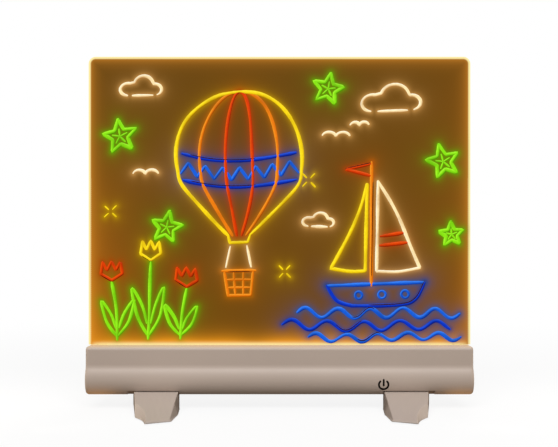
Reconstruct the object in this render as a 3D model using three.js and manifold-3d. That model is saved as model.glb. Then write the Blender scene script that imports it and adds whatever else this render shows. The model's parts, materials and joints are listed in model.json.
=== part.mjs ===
// LED message board: an edge-lit acrylic sheet that stands in a long moulded base on two feet.
// Millimetres. +Z is up, +X runs along the board and -Y faces the reader.
// The origin lies on the table, under the middle of the base.

import * as THREE from 'three';
import { mergeVertices } from 'three/addons/utils/BufferGeometryUtils.js';
import Module from 'manifold-3d';

// General fits
const seatGap = 0.2;
const cutterOverrun = 2;
const rootOverlap = 0.6;

// Acrylic sheet
const sheetWidth = 400;
const sheetHeight = 301.5;
const sheetThickness = 4;
const sheetCornerRadius = 6.5;
const tongueSetback = 10;
const tongueDepth = 9;
const tongueCornerCut = 2;

// Section of the base: a round barrel with a straight neck on it
const undersideHeight = 16.1;
const baseHeight = 49.2;
const barrelRadius = 22;
const barrelAxisRise = 15.1;
const neckDepth = 36;
const neckFillet = 4;
const creaseRadius = 12;
const shellWall = 2.4;
const partingGap = 0.3;

// Ends of the base
const baseSetback = 0.6;
const endRun = 3.5;
const endSideRound = 1.5;
const endTopRound = 2;
const endBottomRound = 4;
const endWall = 3.2;

// Slot for the sheet and the light chute under it
const slotWidth = 7;
const slotEndPlay = 0.5;
const chuteWall = 1.6;
const gripStripDepth = 5.6;
const gripStripRecess = 1.4;
const gripStripInset = 2.5;

// Light engine
const ledAirGap = 0.5;
const ledSide = 5;
const ledHeight = 1.6;
const ledPitch = 12;
const ledBoardWidth = 12;
const ledBoardThickness = 1.2;
const ledBoardSetback = 1;
const lightBarThickness = 1.4;
const lightBarFlange = 2.2;
const lightBarEndSetback = 5;
const ledgeReach = 3.4;
const ledgeThickness = 1.8;

// Screws that join the two halves, in two rows above and below the barrel's axis
const screwRowOffset = 10;
const outerScrewSetback = 21;
const upperScrewShare = 0.42;
const lowerScrewShare = 0.7;
const frontBossRadius = 3.2;
const rearBossRadius = 4.6;
const screwShankRadius = 1.3;
const screwHeadRadius = 2.7;
const screwHeadHeight = 1.9;
const screwHeadSeat = 14.6;
const screwGrip = 9;
const screwHolePlay = 0.35;
const screwCrownShare = 0.55;
const screwRimShare = 0.45;
const screwTipShare = 0.5;

// Power key, control board and touch spring
const powerKeyFootOffset = 26.2;
const powerKeyDrop = 4.7;
const controlBoardLength = 33.6;
const controlBoardHeight = 17.5;
const controlBoardThickness = 1.6;
const controlBoardFace = 9;
const controlBoardShift = 6;
const controlBoardDrop = 3.2;
const boardHoleInset = 3.4;
const boardPostRadius = 2.6;
const boardScrewShankRadius = 0.95;
const boardScrewHeadRadius = 1.9;
const boardScrewHeadHeight = 1.2;
const boardScrewLength = 5;
const springWireRadius = 0.35;
const springTipRadius = 3;
const springRootRadius = 1.9;
const springTurns = 4;
const springTipGap = 1.5;
const chipHeight = 1.7;
const chipLength = 7.6;
const chipWidth = 5;
const coilHeight = 3;

// Power inlet
const inletFootOffset = 16.8;
const inletWidth = 8.9;
const inletHeight = 3.2;
const inletLength = 7.3;
const inletShell = 0.3;
const inletTongue = 0.7;
const inletSetback = 0.9;
const inletBoardLength = 20;
const inletBoardThickness = 1.2;
const inletBoardReach = 8.3;
const inletShelfThickness = 1.8;
const inletPostRadius = 2.4;
const inletPostLength = 5;

// Wires and their connectors
const wireRadius = 0.6;
const connectorLength = 6;
const connectorWidth = 5;
const connectorHeight = 4.4;
const wirePitch = 2;
const wireLeadShare = 0.15;

// Feet: each is a diagonal bar whose two toes point to opposite sides
const leftFootSetback = 69.9;
const rightFootSetback = 66.2;
const footHalfWidth = 25.6;
const footLipHeight = 19.6;
const footLipReach = 20.6;
const footToeHeight = 1.8;
const footToeInnerReach = 75;
const footToeInnerOffset = 24.2;
const footToeSkew = 14.2;
const footToeOuterOffset = 5.5;
const footMiddleShare = 0.45;
const footFlare = 4;
const footFlareShares = [0.6, 1, 0.42, 0, 0, 0, 0];
const footKinkOffset = 9;
const footWall = 2.4;
const saddleClearance = 0.4;
const scoopAlongToe = 8;
const scoopAlongSide = 31.6;
const scoopRadius = 70;
const scoopLeanDegrees = 32;
const pocketStart = 12;
const pocketToeSetback = 15;

// Spigot on each foot and its socket in the base
const spigotLength = 16;
const spigotWidth = 10;
const spigotHeight = 8.4;
const spigotChamfer = 0.9;
const socketPlay = 0.3;
const socketWall = 1.8;

// Rubber pads under the toes
const padLength = 14;
const padWidth = 7;
const padThickness = 1.6;
const padProud = 0.8;
const padCornerRadius = 2.5;
const padCentreOffset = 13;
const padToeSetback = 7;

// How finely round shapes are divided
const barrelSteps = 10;
const filletSteps = 4;
const creaseSteps = 3;
const endSteps = 4;
const footStrips = 6;
const bossSides = 16;
const screwSides = 12;
const scoopSides = 56;
const springStepsPerTurn = 8;
const springSides = 5;
const wireSides = 8;
const wireSteps = 26;

// Levels and half sizes that follow from the sizes above
const barrelAxisZ = undersideHeight + barrelAxisRise;
const baseTop = undersideHeight + baseHeight;
const baseHalfLength = sheetWidth / 2 - baseSetback;
const cavityHalfLength = baseHalfLength - endWall;
const tongueLength = sheetWidth - 2 * tongueSetback;
const ledBoardLength = tongueLength - 2 * ledBoardSetback;
const neckInside = neckDepth / 2 - shellWall;
const barrelInside = barrelRadius - shellWall;
const slotHalfLength = tongueLength / 2 + slotEndPlay;
const shoulderZ = baseTop + seatGap;
const tongueBottom = shoulderZ - tongueDepth;
const ledTop = tongueBottom - ledAirGap;
const ledBoardTop = ledTop - ledHeight;
const chuteBottom = ledBoardTop + seatGap;
const lightBarTop = ledBoardTop - ledBoardThickness - seatGap;
const lightBarBottom = lightBarTop - lightBarThickness;
const ledgeTop = lightBarBottom - seatGap;
const leftFootX = leftFootSetback - baseHalfLength;
const rightFootX = baseHalfLength - rightFootSetback;
const powerKeyX = rightFootX - powerKeyFootOffset;
const inletX = rightFootX + inletFootOffset;
const controlBoardX = powerKeyX - controlBoardShift;
const controlBoardZ = barrelAxisZ - controlBoardDrop;
const powerKeyZ = barrelAxisZ - powerKeyDrop;
const footToeOuterReach = footToeInnerReach + footToeSkew;
const padCentreReach = footToeInnerReach - padToeSetback;
const pocketEnd = footToeInnerReach - pocketToeSetback;
const inletMouthY = barrelRadius - inletSetback;
const inletBoardEdge = inletMouthY - inletLength - inletBoardReach;
const inletBoardTop = barrelAxisZ - inletHeight / 2 - seatGap;
const inletShelfTop = inletBoardTop - inletBoardThickness - seatGap;

// Where the chips, the coil and the connectors sit
const touchChipX = controlBoardX - controlBoardLength / 2 + chipLength;
const powerChipX = touchChipX + chipLength;
const lowerChipZ = controlBoardZ - chipWidth;
const upperChipZ = controlBoardZ + chipWidth;
const controlPlugY = -controlBoardFace + controlBoardThickness + seatGap + connectorHeight / 2;
const powerPlugX = controlBoardX + controlBoardLength / 2 - connectorLength / 2 - seatGap;
const powerPlugZ = controlBoardZ + connectorWidth + 2 * seatGap;
const ledPlugX = powerPlugX - connectorLength - wirePitch;
const ledPlugZ = controlBoardZ;
const inletPlugX = inletX - inletBoardLength / 2 + connectorLength / 2 + 2 * inletPostRadius + seatGap;
const inletPlugY = inletBoardEdge + connectorWidth / 2 + seatGap;
const inletPlugZ = inletBoardTop + seatGap + connectorHeight / 2;

const wasm = await Module();
wasm.setup();

// A closed geometry as a solid that can be joined and cut
function solidOf(geometry) {
  const bare = new THREE.BufferGeometry();
  bare.setAttribute('position', geometry.getAttribute('position').clone());
  if (geometry.index) {
    bare.setIndex(geometry.index.clone());
  }
  const welded = mergeVertices(bare);
  const vertProperties = new Float32Array(welded.getAttribute('position').array);
  const triVerts = new Uint32Array(welded.index.array);
  return new wasm.Manifold(new wasm.Mesh({ numProp: 3, vertProperties, triVerts }));
}

function geometryOf(solid) {
  const mesh = solid.getMesh();
  const geometry = new THREE.BufferGeometry();
  geometry.setAttribute('position', new THREE.BufferAttribute(new Float32Array(mesh.vertProperties), 3));
  geometry.setIndex(new THREE.BufferAttribute(new Uint32Array(mesh.triVerts), 1));
  return geometry;
}

function joined(solids) {
  return solids.reduce((whole, solid) => whole.add(solid));
}

function boxGeometry(low, high) {
  const size = new THREE.Vector3().subVectors(high, low);
  const middle = new THREE.Vector3().addVectors(low, high).multiplyScalar(0.5);
  const geometry = new THREE.BoxGeometry(size.x, size.y, size.z);
  return geometry.translate(middle.x, middle.y, middle.z);
}

function box(x0, x1, y0, y1, z0, z1) {
  return boxGeometry(new THREE.Vector3(x0, y0, z0), new THREE.Vector3(x1, y1, z1));
}

function boxSolid(x0, x1, y0, y1, z0, z1) {
  return solidOf(box(x0, x1, y0, y1, z0, z1));
}

// A rod along Y between two depths, at one place of the section
function rodAlongY(radius, x, z, y0, y1, sides) {
  const geometry = new THREE.CylinderGeometry(radius, radius, y1 - y0, sides);
  return solidOf(geometry.translate(x, (y0 + y1) / 2, z));
}

function rodAlongZ(radius, x, y, z0, z1, sides) {
  const geometry = new THREE.CylinderGeometry(radius, radius, z1 - z0, sides);
  geometry.rotateX(Math.PI / 2);
  return solidOf(geometry.translate(x, y, (z0 + z1) / 2));
}

// Faces out: a closed triangle list whose volume comes out negative is turned over
function closedGeometry(points, triangles) {
  let volume = 0;
  for (const [a, b, c] of triangles) {
    volume += points[a].dot(new THREE.Vector3().crossVectors(points[b], points[c]));
  }
  const ordered = volume < 0 ? triangles.map(([a, b, c]) => [a, c, b]) : triangles;
  const geometry = new THREE.BufferGeometry().setFromPoints(points);
  geometry.setIndex(ordered.flat());
  return geometry;
}

// A body through outlines of equal point count, each placed in space by place(point, index)
function loft(outlines, place) {
  const count = outlines[0].length;
  const points = outlines.flatMap((outline, index) => outline.map((point) => place(point, index)));
  const triangles = [];
  for (let ring = 0; ring + 1 < outlines.length; ring += 1) {
    for (let i = 0; i < count; i += 1) {
      const a = ring * count + i;
      const b = ring * count + ((i + 1) % count);
      triangles.push([a, b, b + count], [a, b + count, a + count]);
    }
  }
  const last = (outlines.length - 1) * count;
  for (const [a, b, c] of THREE.ShapeUtils.triangulateShape(outlines[0], [])) {
    triangles.push([a, c, b]);
  }
  for (const [a, b, c] of THREE.ShapeUtils.triangulateShape(outlines[outlines.length - 1], [])) {
    triangles.push([last + a, last + b, last + c]);
  }
  return closedGeometry(points, triangles);
}

// A section in the Y-Z plane carried straight along X
function alongX(outline, x0, x1) {
  return loft([outline, outline], (point, index) => new THREE.Vector3(index ? x1 : x0, point.x, point.y));
}

function roundedRectangle(width, height, radius) {
  const x = width / 2 - radius;
  const y = height / 2 - radius;
  const shape = new THREE.Shape();
  shape.absarc(x, y, radius, 0, Math.PI / 2);
  shape.absarc(-x, y, radius, Math.PI / 2, Math.PI);
  shape.absarc(-x, -y, radius, Math.PI, 1.5 * Math.PI);
  shape.absarc(x, -y, radius, 1.5 * Math.PI, 2 * Math.PI);
  return shape;
}

// A flat shape drawn in X and Z, given a thickness along Y
function standingPlate(shape, y0, y1, curveSegments) {
  const geometry = new THREE.ExtrudeGeometry(shape, { depth: y1 - y0, bevelEnabled: false, curveSegments });
  geometry.rotateX(Math.PI / 2);
  return geometry.translate(0, y1, 0);
}

function lyingPlate(shape, z0, z1, curveSegments) {
  const geometry = new THREE.ExtrudeGeometry(shape, { depth: z1 - z0, bevelEnabled: false, curveSegments });
  return geometry.translate(0, 0, z0);
}

// Outline of the base's section, drawn in by an amount at its sides, top and underside
function baseOutline(side, top, bottom) {
  const radius = barrelRadius - side;
  const neck = Math.min(neckDepth / 2 - side, radius);
  const fillet = Math.max(neckFillet - top, seatGap);
  const high = baseTop - top;
  const crease = creaseRadius + side;
  const to = Math.acos((neck + crease) / (radius + crease));
  const creaseZ = barrelAxisZ + (radius + crease) * Math.sin(to);
  const from = -Math.asin(Math.min((barrelAxisRise - bottom) / radius, 1));
  const rightSide = [];
  for (let i = 0; i <= barrelSteps; i += 1) {
    const angle = from + ((to - from) * i) / barrelSteps;
    rightSide.push(new THREE.Vector2(radius * Math.cos(angle), barrelAxisZ + radius * Math.sin(angle)));
  }
  for (let i = 1; i <= creaseSteps; i += 1) {
    const angle = to * (1 - i / creaseSteps);
    const y = neck + crease * (1 - Math.cos(angle));
    rightSide.push(new THREE.Vector2(y, creaseZ - crease * Math.sin(angle)));
  }
  for (let i = 0; i <= filletSteps; i += 1) {
    const angle = (Math.PI / 2) * (i / filletSteps);
    const y = neck - fillet + fillet * Math.cos(angle);
    rightSide.push(new THREE.Vector2(y, high - fillet + fillet * Math.sin(angle)));
  }
  const leftSide = rightSide.map((point) => new THREE.Vector2(-point.x, point.y)).reverse();
  return [...rightSide, ...leftSide];
}

// The whole outer body of the base, with its ends rounded off
function baseBody() {
  const stations = [];
  for (let i = endSteps; i >= 0; i -= 1) {
    stations.push({ side: -1, turn: (Math.PI / 2) * (i / endSteps) });
  }
  for (let i = 0; i <= endSteps; i += 1) {
    stations.push({ side: 1, turn: (Math.PI / 2) * (i / endSteps) });
  }
  const outlines = stations.map(({ turn }) => {
    const share = 1 - Math.cos(turn);
    return baseOutline(endSideRound * share, endTopRound * share, endBottomRound * share);
  });
  const place = (point, index) => {
    const { side, turn } = stations[index];
    return new THREE.Vector3(side * (baseHalfLength - endRun * (1 - Math.sin(turn))), point.x, point.y);
  };
  return solidOf(loft(outlines, place));
}

function baseCavity() {
  return solidOf(alongX(baseOutline(shellWall, shellWall, shellWall), -cavityHalfLength, cavityHalfLength));
}

// The space up to the middle of the shell's wall, in which bosses and posts take root
function wallCore() {
  const inset = shellWall / 2;
  return solidOf(alongX(baseOutline(inset, inset, inset), -cavityHalfLength, cavityHalfLength));
}

// Walls that hang from the top and lead the light of the LEDs into the sheet's lower edge
function lightChute() {
  const length = slotHalfLength + chuteWall;
  const depth = slotWidth / 2 + chuteWall;
  return boxSolid(-length, length, -depth, depth, chuteBottom, baseTop - shellWall + rootOverlap);
}

function slotCut() {
  const depth = slotWidth / 2;
  const low = chuteBottom - cutterOverrun;
  return boxSolid(-slotHalfLength, slotHalfLength, -depth, depth, low, baseTop + cutterOverrun);
}

// Rails on the neck's inner walls that carry the light bar
function lightBarLedge(side) {
  const edges = [side * (neckInside - ledgeReach), side * (neckInside + rootOverlap)].sort((a, b) => a - b);
  const length = cavityHalfLength + rootOverlap;
  return boxSolid(-length, length, edges[0], edges[1], ledgeTop - ledgeThickness, ledgeTop);
}

function socketBlock(x) {
  const length = spigotLength / 2 + socketPlay + socketWall;
  const depth = spigotWidth / 2 + socketPlay + socketWall;
  const top = undersideHeight + spigotHeight + socketPlay + socketWall;
  return boxSolid(x - length, x + length, -depth, depth, undersideHeight + rootOverlap, top);
}

function socketHole(x) {
  const length = spigotLength / 2 + socketPlay;
  const depth = spigotWidth / 2 + socketPlay;
  const low = undersideHeight - cutterOverrun;
  return boxSolid(x - length, x + length, -depth, depth, low, undersideHeight + spigotHeight + socketPlay);
}

// Screws near the ends, over the control board, and between that board and the middle, on both sides
function screwPlaces() {
  const boardReach = controlBoardX - controlBoardLength / 2;
  const end = baseHalfLength - outerScrewSetback;
  const onBothSides = (places) => [...places.map((x) => -x), ...places];
  const upper = onBothSides([upperScrewShare * boardReach, powerKeyX, end]);
  const lower = onBothSides([lowerScrewShare * boardReach, end]);
  return [
    ...upper.map((x) => [x, barrelAxisZ + screwRowOffset]),
    ...lower.map((x) => [x, barrelAxisZ - screwRowOffset]),
  ];
}

// Both halves start from one shelled body with its slot, chute, ledges and foot sockets
function wholeShell() {
  const feet = [leftFootX, rightFootX];
  const ribs = joined([lightBarLedge(-1), lightBarLedge(1), lightChute(), ...feet.map(socketBlock)]);
  const cuts = joined([slotCut(), ...feet.map(socketHole)]);
  return baseBody().subtract(baseCavity()).add(ribs).subtract(cuts);
}

function halfSpace(side) {
  const far = barrelRadius + cutterOverrun;
  const edges = side < 0 ? [-far, -partingGap / 2] : [partingGap / 2, far];
  const length = baseHalfLength + cutterOverrun;
  return boxSolid(-length, length, edges[0], edges[1], 0, baseTop + cutterOverrun);
}

function controlBoardHoles() {
  const x = controlBoardLength / 2 - boardHoleInset;
  const z = controlBoardHeight / 2 - boardHoleInset;
  return [[controlBoardX - x, controlBoardZ + z], [controlBoardX + x, controlBoardZ - z]];
}

function frontHousing(shell) {
  const tip = -partingGap / 2;
  const bosses = screwPlaces().map(([x, z]) => rodAlongY(frontBossRadius, x, z, -barrelRadius, tip, bossSides));
  const postTip = -(controlBoardFace + seatGap);
  const posts = controlBoardHoles().map(([x, z]) => {
    return rodAlongY(boardPostRadius, x, z, -barrelRadius, postTip, bossSides);
  });
  const pilots = screwPlaces().map(([x, z]) => {
    return rodAlongY(screwShankRadius + seatGap / 2, x, z, -screwGrip - seatGap, cutterOverrun, bossSides);
  });
  const boardPilots = controlBoardHoles().map(([x, z]) => {
    const depth = postTip - boardScrewLength;
    return rodAlongY(boardScrewShankRadius + seatGap / 2, x, z, depth, postTip + cutterOverrun, bossSides);
  });
  const inside = joined([...bosses, ...posts]).intersect(wallCore());
  return shell.intersect(halfSpace(-1)).add(inside).subtract(joined([...pilots, ...boardPilots]));
}

function inletPosts() {
  const x = inletBoardLength / 2 - inletPostRadius;
  const y = inletBoardEdge + inletPostRadius;
  return [[inletX - x, y], [inletX + x, y]];
}

// Shelf on the rear wall, with two posts, for the board of the power inlet
function inletShelf() {
  const half = inletBoardLength / 2;
  const low = inletShelfTop - inletShelfThickness;
  const shelf = boxSolid(inletX - half, inletX + half, inletBoardEdge, barrelRadius, low, inletShelfTop);
  const posts = inletPosts().map(([x, y]) => {
    return rodAlongZ(inletPostRadius, x, y, inletShelfTop - inletPostLength, inletShelfTop, bossSides);
  });
  return joined([shelf, ...posts]);
}

function inletPort() {
  const width = inletWidth + 2 * socketPlay;
  const height = inletHeight + 2 * socketPlay;
  const shape = roundedRectangle(width, height, height / 2);
  const port = standingPlate(shape, inletMouthY - inletLength, barrelRadius + cutterOverrun, filletSteps);
  return solidOf(port.translate(inletX, 0, barrelAxisZ));
}

function rearHousing(shell) {
  const tip = partingGap / 2;
  const bosses = screwPlaces().map(([x, z]) => rodAlongY(rearBossRadius, x, z, tip, barrelRadius, bossSides));
  const inside = joined([...bosses, inletShelf()]).intersect(wallCore());
  const holes = screwPlaces().map(([x, z]) => {
    const shank = rodAlongY(screwShankRadius + screwHolePlay, x, z, 0, barrelRadius, bossSides);
    const head = rodAlongY(screwHeadRadius + screwHolePlay, x, z, screwHeadSeat - seatGap,
      barrelRadius + cutterOverrun, bossSides);
    return shank.add(head);
  });
  const pilots = inletPosts().map(([x, y]) => {
    const radius = boardScrewShankRadius + seatGap / 2;
    return rodAlongZ(radius, x, y, inletShelfTop - boardScrewLength + seatGap,
      inletShelfTop + cutterOverrun, bossSides);
  });
  return shell.intersect(halfSpace(1)).add(inside).subtract(joined([...holes, ...pilots, inletPort()]));
}

// The sheet: rounded top corners, shoulders that rest on the base and a tongue that fills the slot
function acrylicPanel() {
  const half = sheetWidth / 2;
  const top = shoulderZ + sheetHeight;
  const tongue = tongueLength / 2;
  const corner = sheetCornerRadius;
  const shape = new THREE.Shape();
  shape.moveTo(-tongue + tongueCornerCut, tongueBottom);
  shape.lineTo(tongue - tongueCornerCut, tongueBottom);
  shape.lineTo(tongue, tongueBottom + tongueCornerCut);
  shape.lineTo(tongue, shoulderZ);
  shape.lineTo(half, shoulderZ);
  shape.lineTo(half, top - corner);
  shape.absarc(half - corner, top - corner, corner, 0, Math.PI / 2);
  shape.lineTo(-half + corner, top);
  shape.absarc(-half + corner, top - corner, corner, Math.PI / 2, Math.PI);
  shape.lineTo(-half, shoulderZ);
  shape.lineTo(-tongue, shoulderZ);
  shape.lineTo(-tongue, tongueBottom + tongueCornerCut);
  shape.closePath();
  return standingPlate(shape, -sheetThickness / 2, sheetThickness / 2, 2 * filletSteps);
}

function gripStrip(side) {
  const edges = [side * (sheetThickness / 2 + seatGap), side * (slotWidth / 2 - seatGap)];
  edges.sort((a, b) => a - b);
  const half = tongueLength / 2 - gripStripInset;
  const top = baseTop - gripStripRecess;
  return box(-half, half, edges[0], edges[1], top - gripStripDepth, top);
}

// An aluminium channel that spreads the heat of the LED strip
function lightBar() {
  const half = neckInside - seatGap;
  const lip = lightBarThickness;
  const outline = [
    new THREE.Vector2(-half, lightBarBottom),
    new THREE.Vector2(half, lightBarBottom),
    new THREE.Vector2(half, lightBarTop + lightBarFlange),
    new THREE.Vector2(half - lip, lightBarTop + lightBarFlange),
    new THREE.Vector2(half - lip, lightBarTop),
    new THREE.Vector2(-half + lip, lightBarTop),
    new THREE.Vector2(-half + lip, lightBarTop + lightBarFlange),
    new THREE.Vector2(-half, lightBarTop + lightBarFlange),
  ];
  const length = ledBoardLength / 2 - lightBarEndSetback;
  return alongX(outline, -length, length);
}

// The circuit strip with its row of LEDs soldered on
function ledStrip() {
  const length = ledBoardLength / 2;
  const width = ledBoardWidth / 2;
  const half = ledSide / 2;
  const low = ledBoardTop - ledBoardThickness;
  const count = 2 * Math.floor((length - ledSide) / ledPitch) + 1;
  const pieces = [boxSolid(-length, length, -width, width, low, ledBoardTop)];
  for (let i = 0; i < count; i += 1) {
    const x = (i - (count - 1) / 2) * ledPitch;
    pieces.push(boxSolid(x - half, x + half, -half, half, ledBoardTop - ledBoardThickness / 2, ledTop));
  }
  return geometryOf(joined(pieces));
}

function controlBoard() {
  const half = controlBoardLength / 2;
  const rise = controlBoardHeight / 2;
  const rear = -controlBoardFace + controlBoardThickness;
  const plate = boxSolid(controlBoardX - half, controlBoardX + half, -controlBoardFace, rear,
    controlBoardZ - rise, controlBoardZ + rise);
  const holes = controlBoardHoles().map(([x, z]) => {
    return rodAlongY(boardScrewShankRadius + seatGap, x, z, -controlBoardFace - cutterOverrun,
      rear + cutterOverrun, bossSides);
  });
  return geometryOf(plate.subtract(joined(holes)));
}

// A chip or coil on the rear face of the control board
function boardComponent(x, z, length, height) {
  const face = -controlBoardFace + controlBoardThickness + seatGap;
  return box(x - length / 2, x + length / 2, face, face + height, z - chipWidth / 2, z + chipWidth / 2);
}

function standingConnector(x, z) {
  const long = connectorLength / 2;
  const wide = connectorWidth / 2;
  const high = connectorHeight / 2;
  return box(x - long, x + long, controlPlugY - high, controlPlugY + high, z - wide, z + wide);
}

function lyingConnector(x, y, z) {
  const long = connectorLength / 2;
  const wide = connectorWidth / 2;
  const high = connectorHeight / 2;
  return box(x - long, x + long, y - wide, y + wide, z - high, z + high);
}

// A conical touch spring between the control board and the wall behind the power symbol
class SpringCurve extends THREE.Curve {
  getPoint(share, target = new THREE.Vector3()) {
    const angle = 2 * Math.PI * springTurns * share;
    const radius = springRootRadius + (springTipRadius - springRootRadius) * share;
    const root = -controlBoardFace - seatGap - springWireRadius;
    const wall = -Math.sqrt(barrelInside ** 2 - powerKeyDrop ** 2);
    const tip = wall + springTipGap + springWireRadius;
    const y = root + (tip - root) * share;
    return target.set(powerKeyX + radius * Math.cos(angle), y, powerKeyZ + radius * Math.sin(angle));
  }
}

function circleShape(radius, sides) {
  const points = [];
  for (let i = 0; i < sides; i += 1) {
    const angle = (2 * Math.PI * i) / sides;
    points.push(new THREE.Vector2(radius * Math.cos(angle), radius * Math.sin(angle)));
  }
  return new THREE.Shape(points);
}

function touchSpring() {
  const steps = springTurns * springStepsPerTurn;
  return new THREE.ExtrudeGeometry(circleShape(springWireRadius, springSides), {
    steps,
    extrudePath: new SpringCurve(),
  });
}

// A screw along Y with its head's underside at zero and its tip towards -Y
function screw(headRadius, headHeight, shankRadius, length) {
  const crown = headRadius * screwCrownShare;
  const profile = [
    new THREE.Vector2(0, -length),
    new THREE.Vector2(shankRadius * screwTipShare, -length),
    new THREE.Vector2(shankRadius, -length + shankRadius),
    new THREE.Vector2(shankRadius, 0),
    new THREE.Vector2(headRadius, 0),
    new THREE.Vector2(headRadius, headHeight * screwRimShare),
    new THREE.Vector2(crown, headHeight),
    new THREE.Vector2(0, headHeight),
  ];
  return new THREE.LatheGeometry(profile, screwSides);
}

function housingScrew() {
  return screw(screwHeadRadius, screwHeadHeight, screwShankRadius, screwHeadSeat + screwGrip);
}

function boardScrew() {
  return screw(boardScrewHeadRadius, boardScrewHeadHeight, boardScrewShankRadius, boardScrewLength);
}

function inletBoard() {
  const half = inletBoardLength / 2;
  const low = inletBoardTop - inletBoardThickness;
  const wall = Math.sqrt(barrelInside ** 2 - (barrelAxisZ - low) ** 2);
  const plate = boxSolid(inletX - half, inletX + half, inletBoardEdge, wall - socketPlay, low, inletBoardTop);
  const holes = inletPosts().map(([x, y]) => {
    return rodAlongZ(boardScrewShankRadius + seatGap, x, y, low - cutterOverrun,
      inletBoardTop + cutterOverrun, bossSides);
  });
  return geometryOf(plate.subtract(joined(holes)));
}

// A USB socket: a thin metal shell with an oval mouth and a tongue inside
function inletSocket() {
  const rear = inletMouthY - inletLength;
  const bore = inletHeight - 2 * inletShell;
  const outer = roundedRectangle(inletWidth, inletHeight, inletHeight / 2);
  const inner = roundedRectangle(inletWidth - 2 * inletShell, bore, bore / 2);
  const shell = solidOf(standingPlate(outer, rear, inletMouthY, filletSteps));
  const mouth = solidOf(standingPlate(inner, rear + cutterOverrun, inletMouthY + cutterOverrun, filletSteps));
  const tongueHalf = inletWidth / 2 - inletHeight / 2;
  const tongue = boxSolid(-tongueHalf, tongueHalf, rear + inletShell, inletMouthY - inletSetback,
    -inletTongue / 2, inletTongue / 2);
  return geometryOf(shell.subtract(mouth).add(tongue)).translate(inletX, 0, barrelAxisZ);
}

function wire(points) {
  return new THREE.ExtrudeGeometry(circleShape(wireRadius, wireSides), {
    steps: wireSteps,
    extrudePath: new THREE.CatmullRomCurve3(points),
  });
}

// The inlet's wires cross from the rear of the barrel to the control board
function powerWire(side) {
  const offset = (side * wirePitch) / 2;
  const start = powerPlugX + connectorLength / 2 + seatGap;
  const end = inletPlugX - connectorLength / 2 - seatGap;
  const lead = wireLeadShare * (end - start);
  return wire([
    new THREE.Vector3(start, controlPlugY, powerPlugZ + offset),
    new THREE.Vector3(start + lead, controlPlugY, powerPlugZ + offset),
    new THREE.Vector3((start + end) / 2, (controlPlugY + inletPlugY) / 2, inletPlugZ + wirePitch + offset),
    new THREE.Vector3(end - lead, inletPlugY + offset, inletPlugZ),
    new THREE.Vector3(end, inletPlugY + offset, inletPlugZ),
  ]);
}

// The strip's wires run between the two rows of screws and rise to the free end of the LED board
function ledWire(side) {
  const offset = (side * wirePitch) / 2;
  const start = ledPlugX + connectorLength / 2 + seatGap;
  const end = ledBoardLength / 2 - lightBarEndSetback / 2;
  const lane = controlPlugY + connectorHeight;
  const level = barrelAxisZ - wirePitch + offset;
  const top = ledBoardTop - ledBoardThickness - seatGap;
  return wire([
    new THREE.Vector3(start, controlPlugY, ledPlugZ + offset),
    new THREE.Vector3(start + 2 * wirePitch, controlPlugY, ledPlugZ + offset),
    new THREE.Vector3(start + connectorLength + 3 * wirePitch, lane, level),
    new THREE.Vector3(inletX, lane, level),
    new THREE.Vector3(end - connectorLength, lane, level),
    new THREE.Vector3(end - offset, lane / 2, barrelAxisZ + screwRowOffset),
    new THREE.Vector3(end - offset, 0, top - connectorLength),
    new THREE.Vector3(end - offset, 0, top),
  ]);
}

function turnedAbout(point) {
  return new THREE.Vector2(-point.x, -point.y);
}

// Plan of a foot's top: the two long sides, each from the front toe to the rear toe
function footSides() {
  const kink = new THREE.Vector2(footHalfWidth, footKinkOffset);
  const toe = new THREE.Vector2(footToeOuterOffset, -footToeOuterReach);
  const lipShare = (footKinkOffset + footLipReach) / (footKinkOffset + footToeOuterReach);
  const lip = kink.clone().lerp(toe, lipShare);
  const innerToe = new THREE.Vector2(-footToeInnerOffset, -footToeInnerReach);
  const innerLip = new THREE.Vector2(-footHalfWidth, -footLipReach);
  const outerFront = [toe, lip.clone().lerp(toe, footMiddleShare), lip, kink];
  const innerFront = [innerToe, innerLip.clone().lerp(innerToe, footMiddleShare), innerLip];
  const turned = (line) => line.map(turnedAbout).reverse();
  return { inner: [...innerFront, ...turned(outerFront)], outer: [...outerFront, ...turned(innerFront)] };
}

// Plan of its underside: the straight sides flare outwards below the top
function footUndersides() {
  const { inner, outer } = footSides();
  const last = footFlareShares.length - 1;
  return {
    inner: inner.map((point, j) => new THREE.Vector2(point.x - footFlare * footFlareShares[j], point.y)),
    outer: outer.map((point, j) => new THREE.Vector2(point.x + footFlare * footFlareShares[last - j], point.y)),
  };
}

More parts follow.
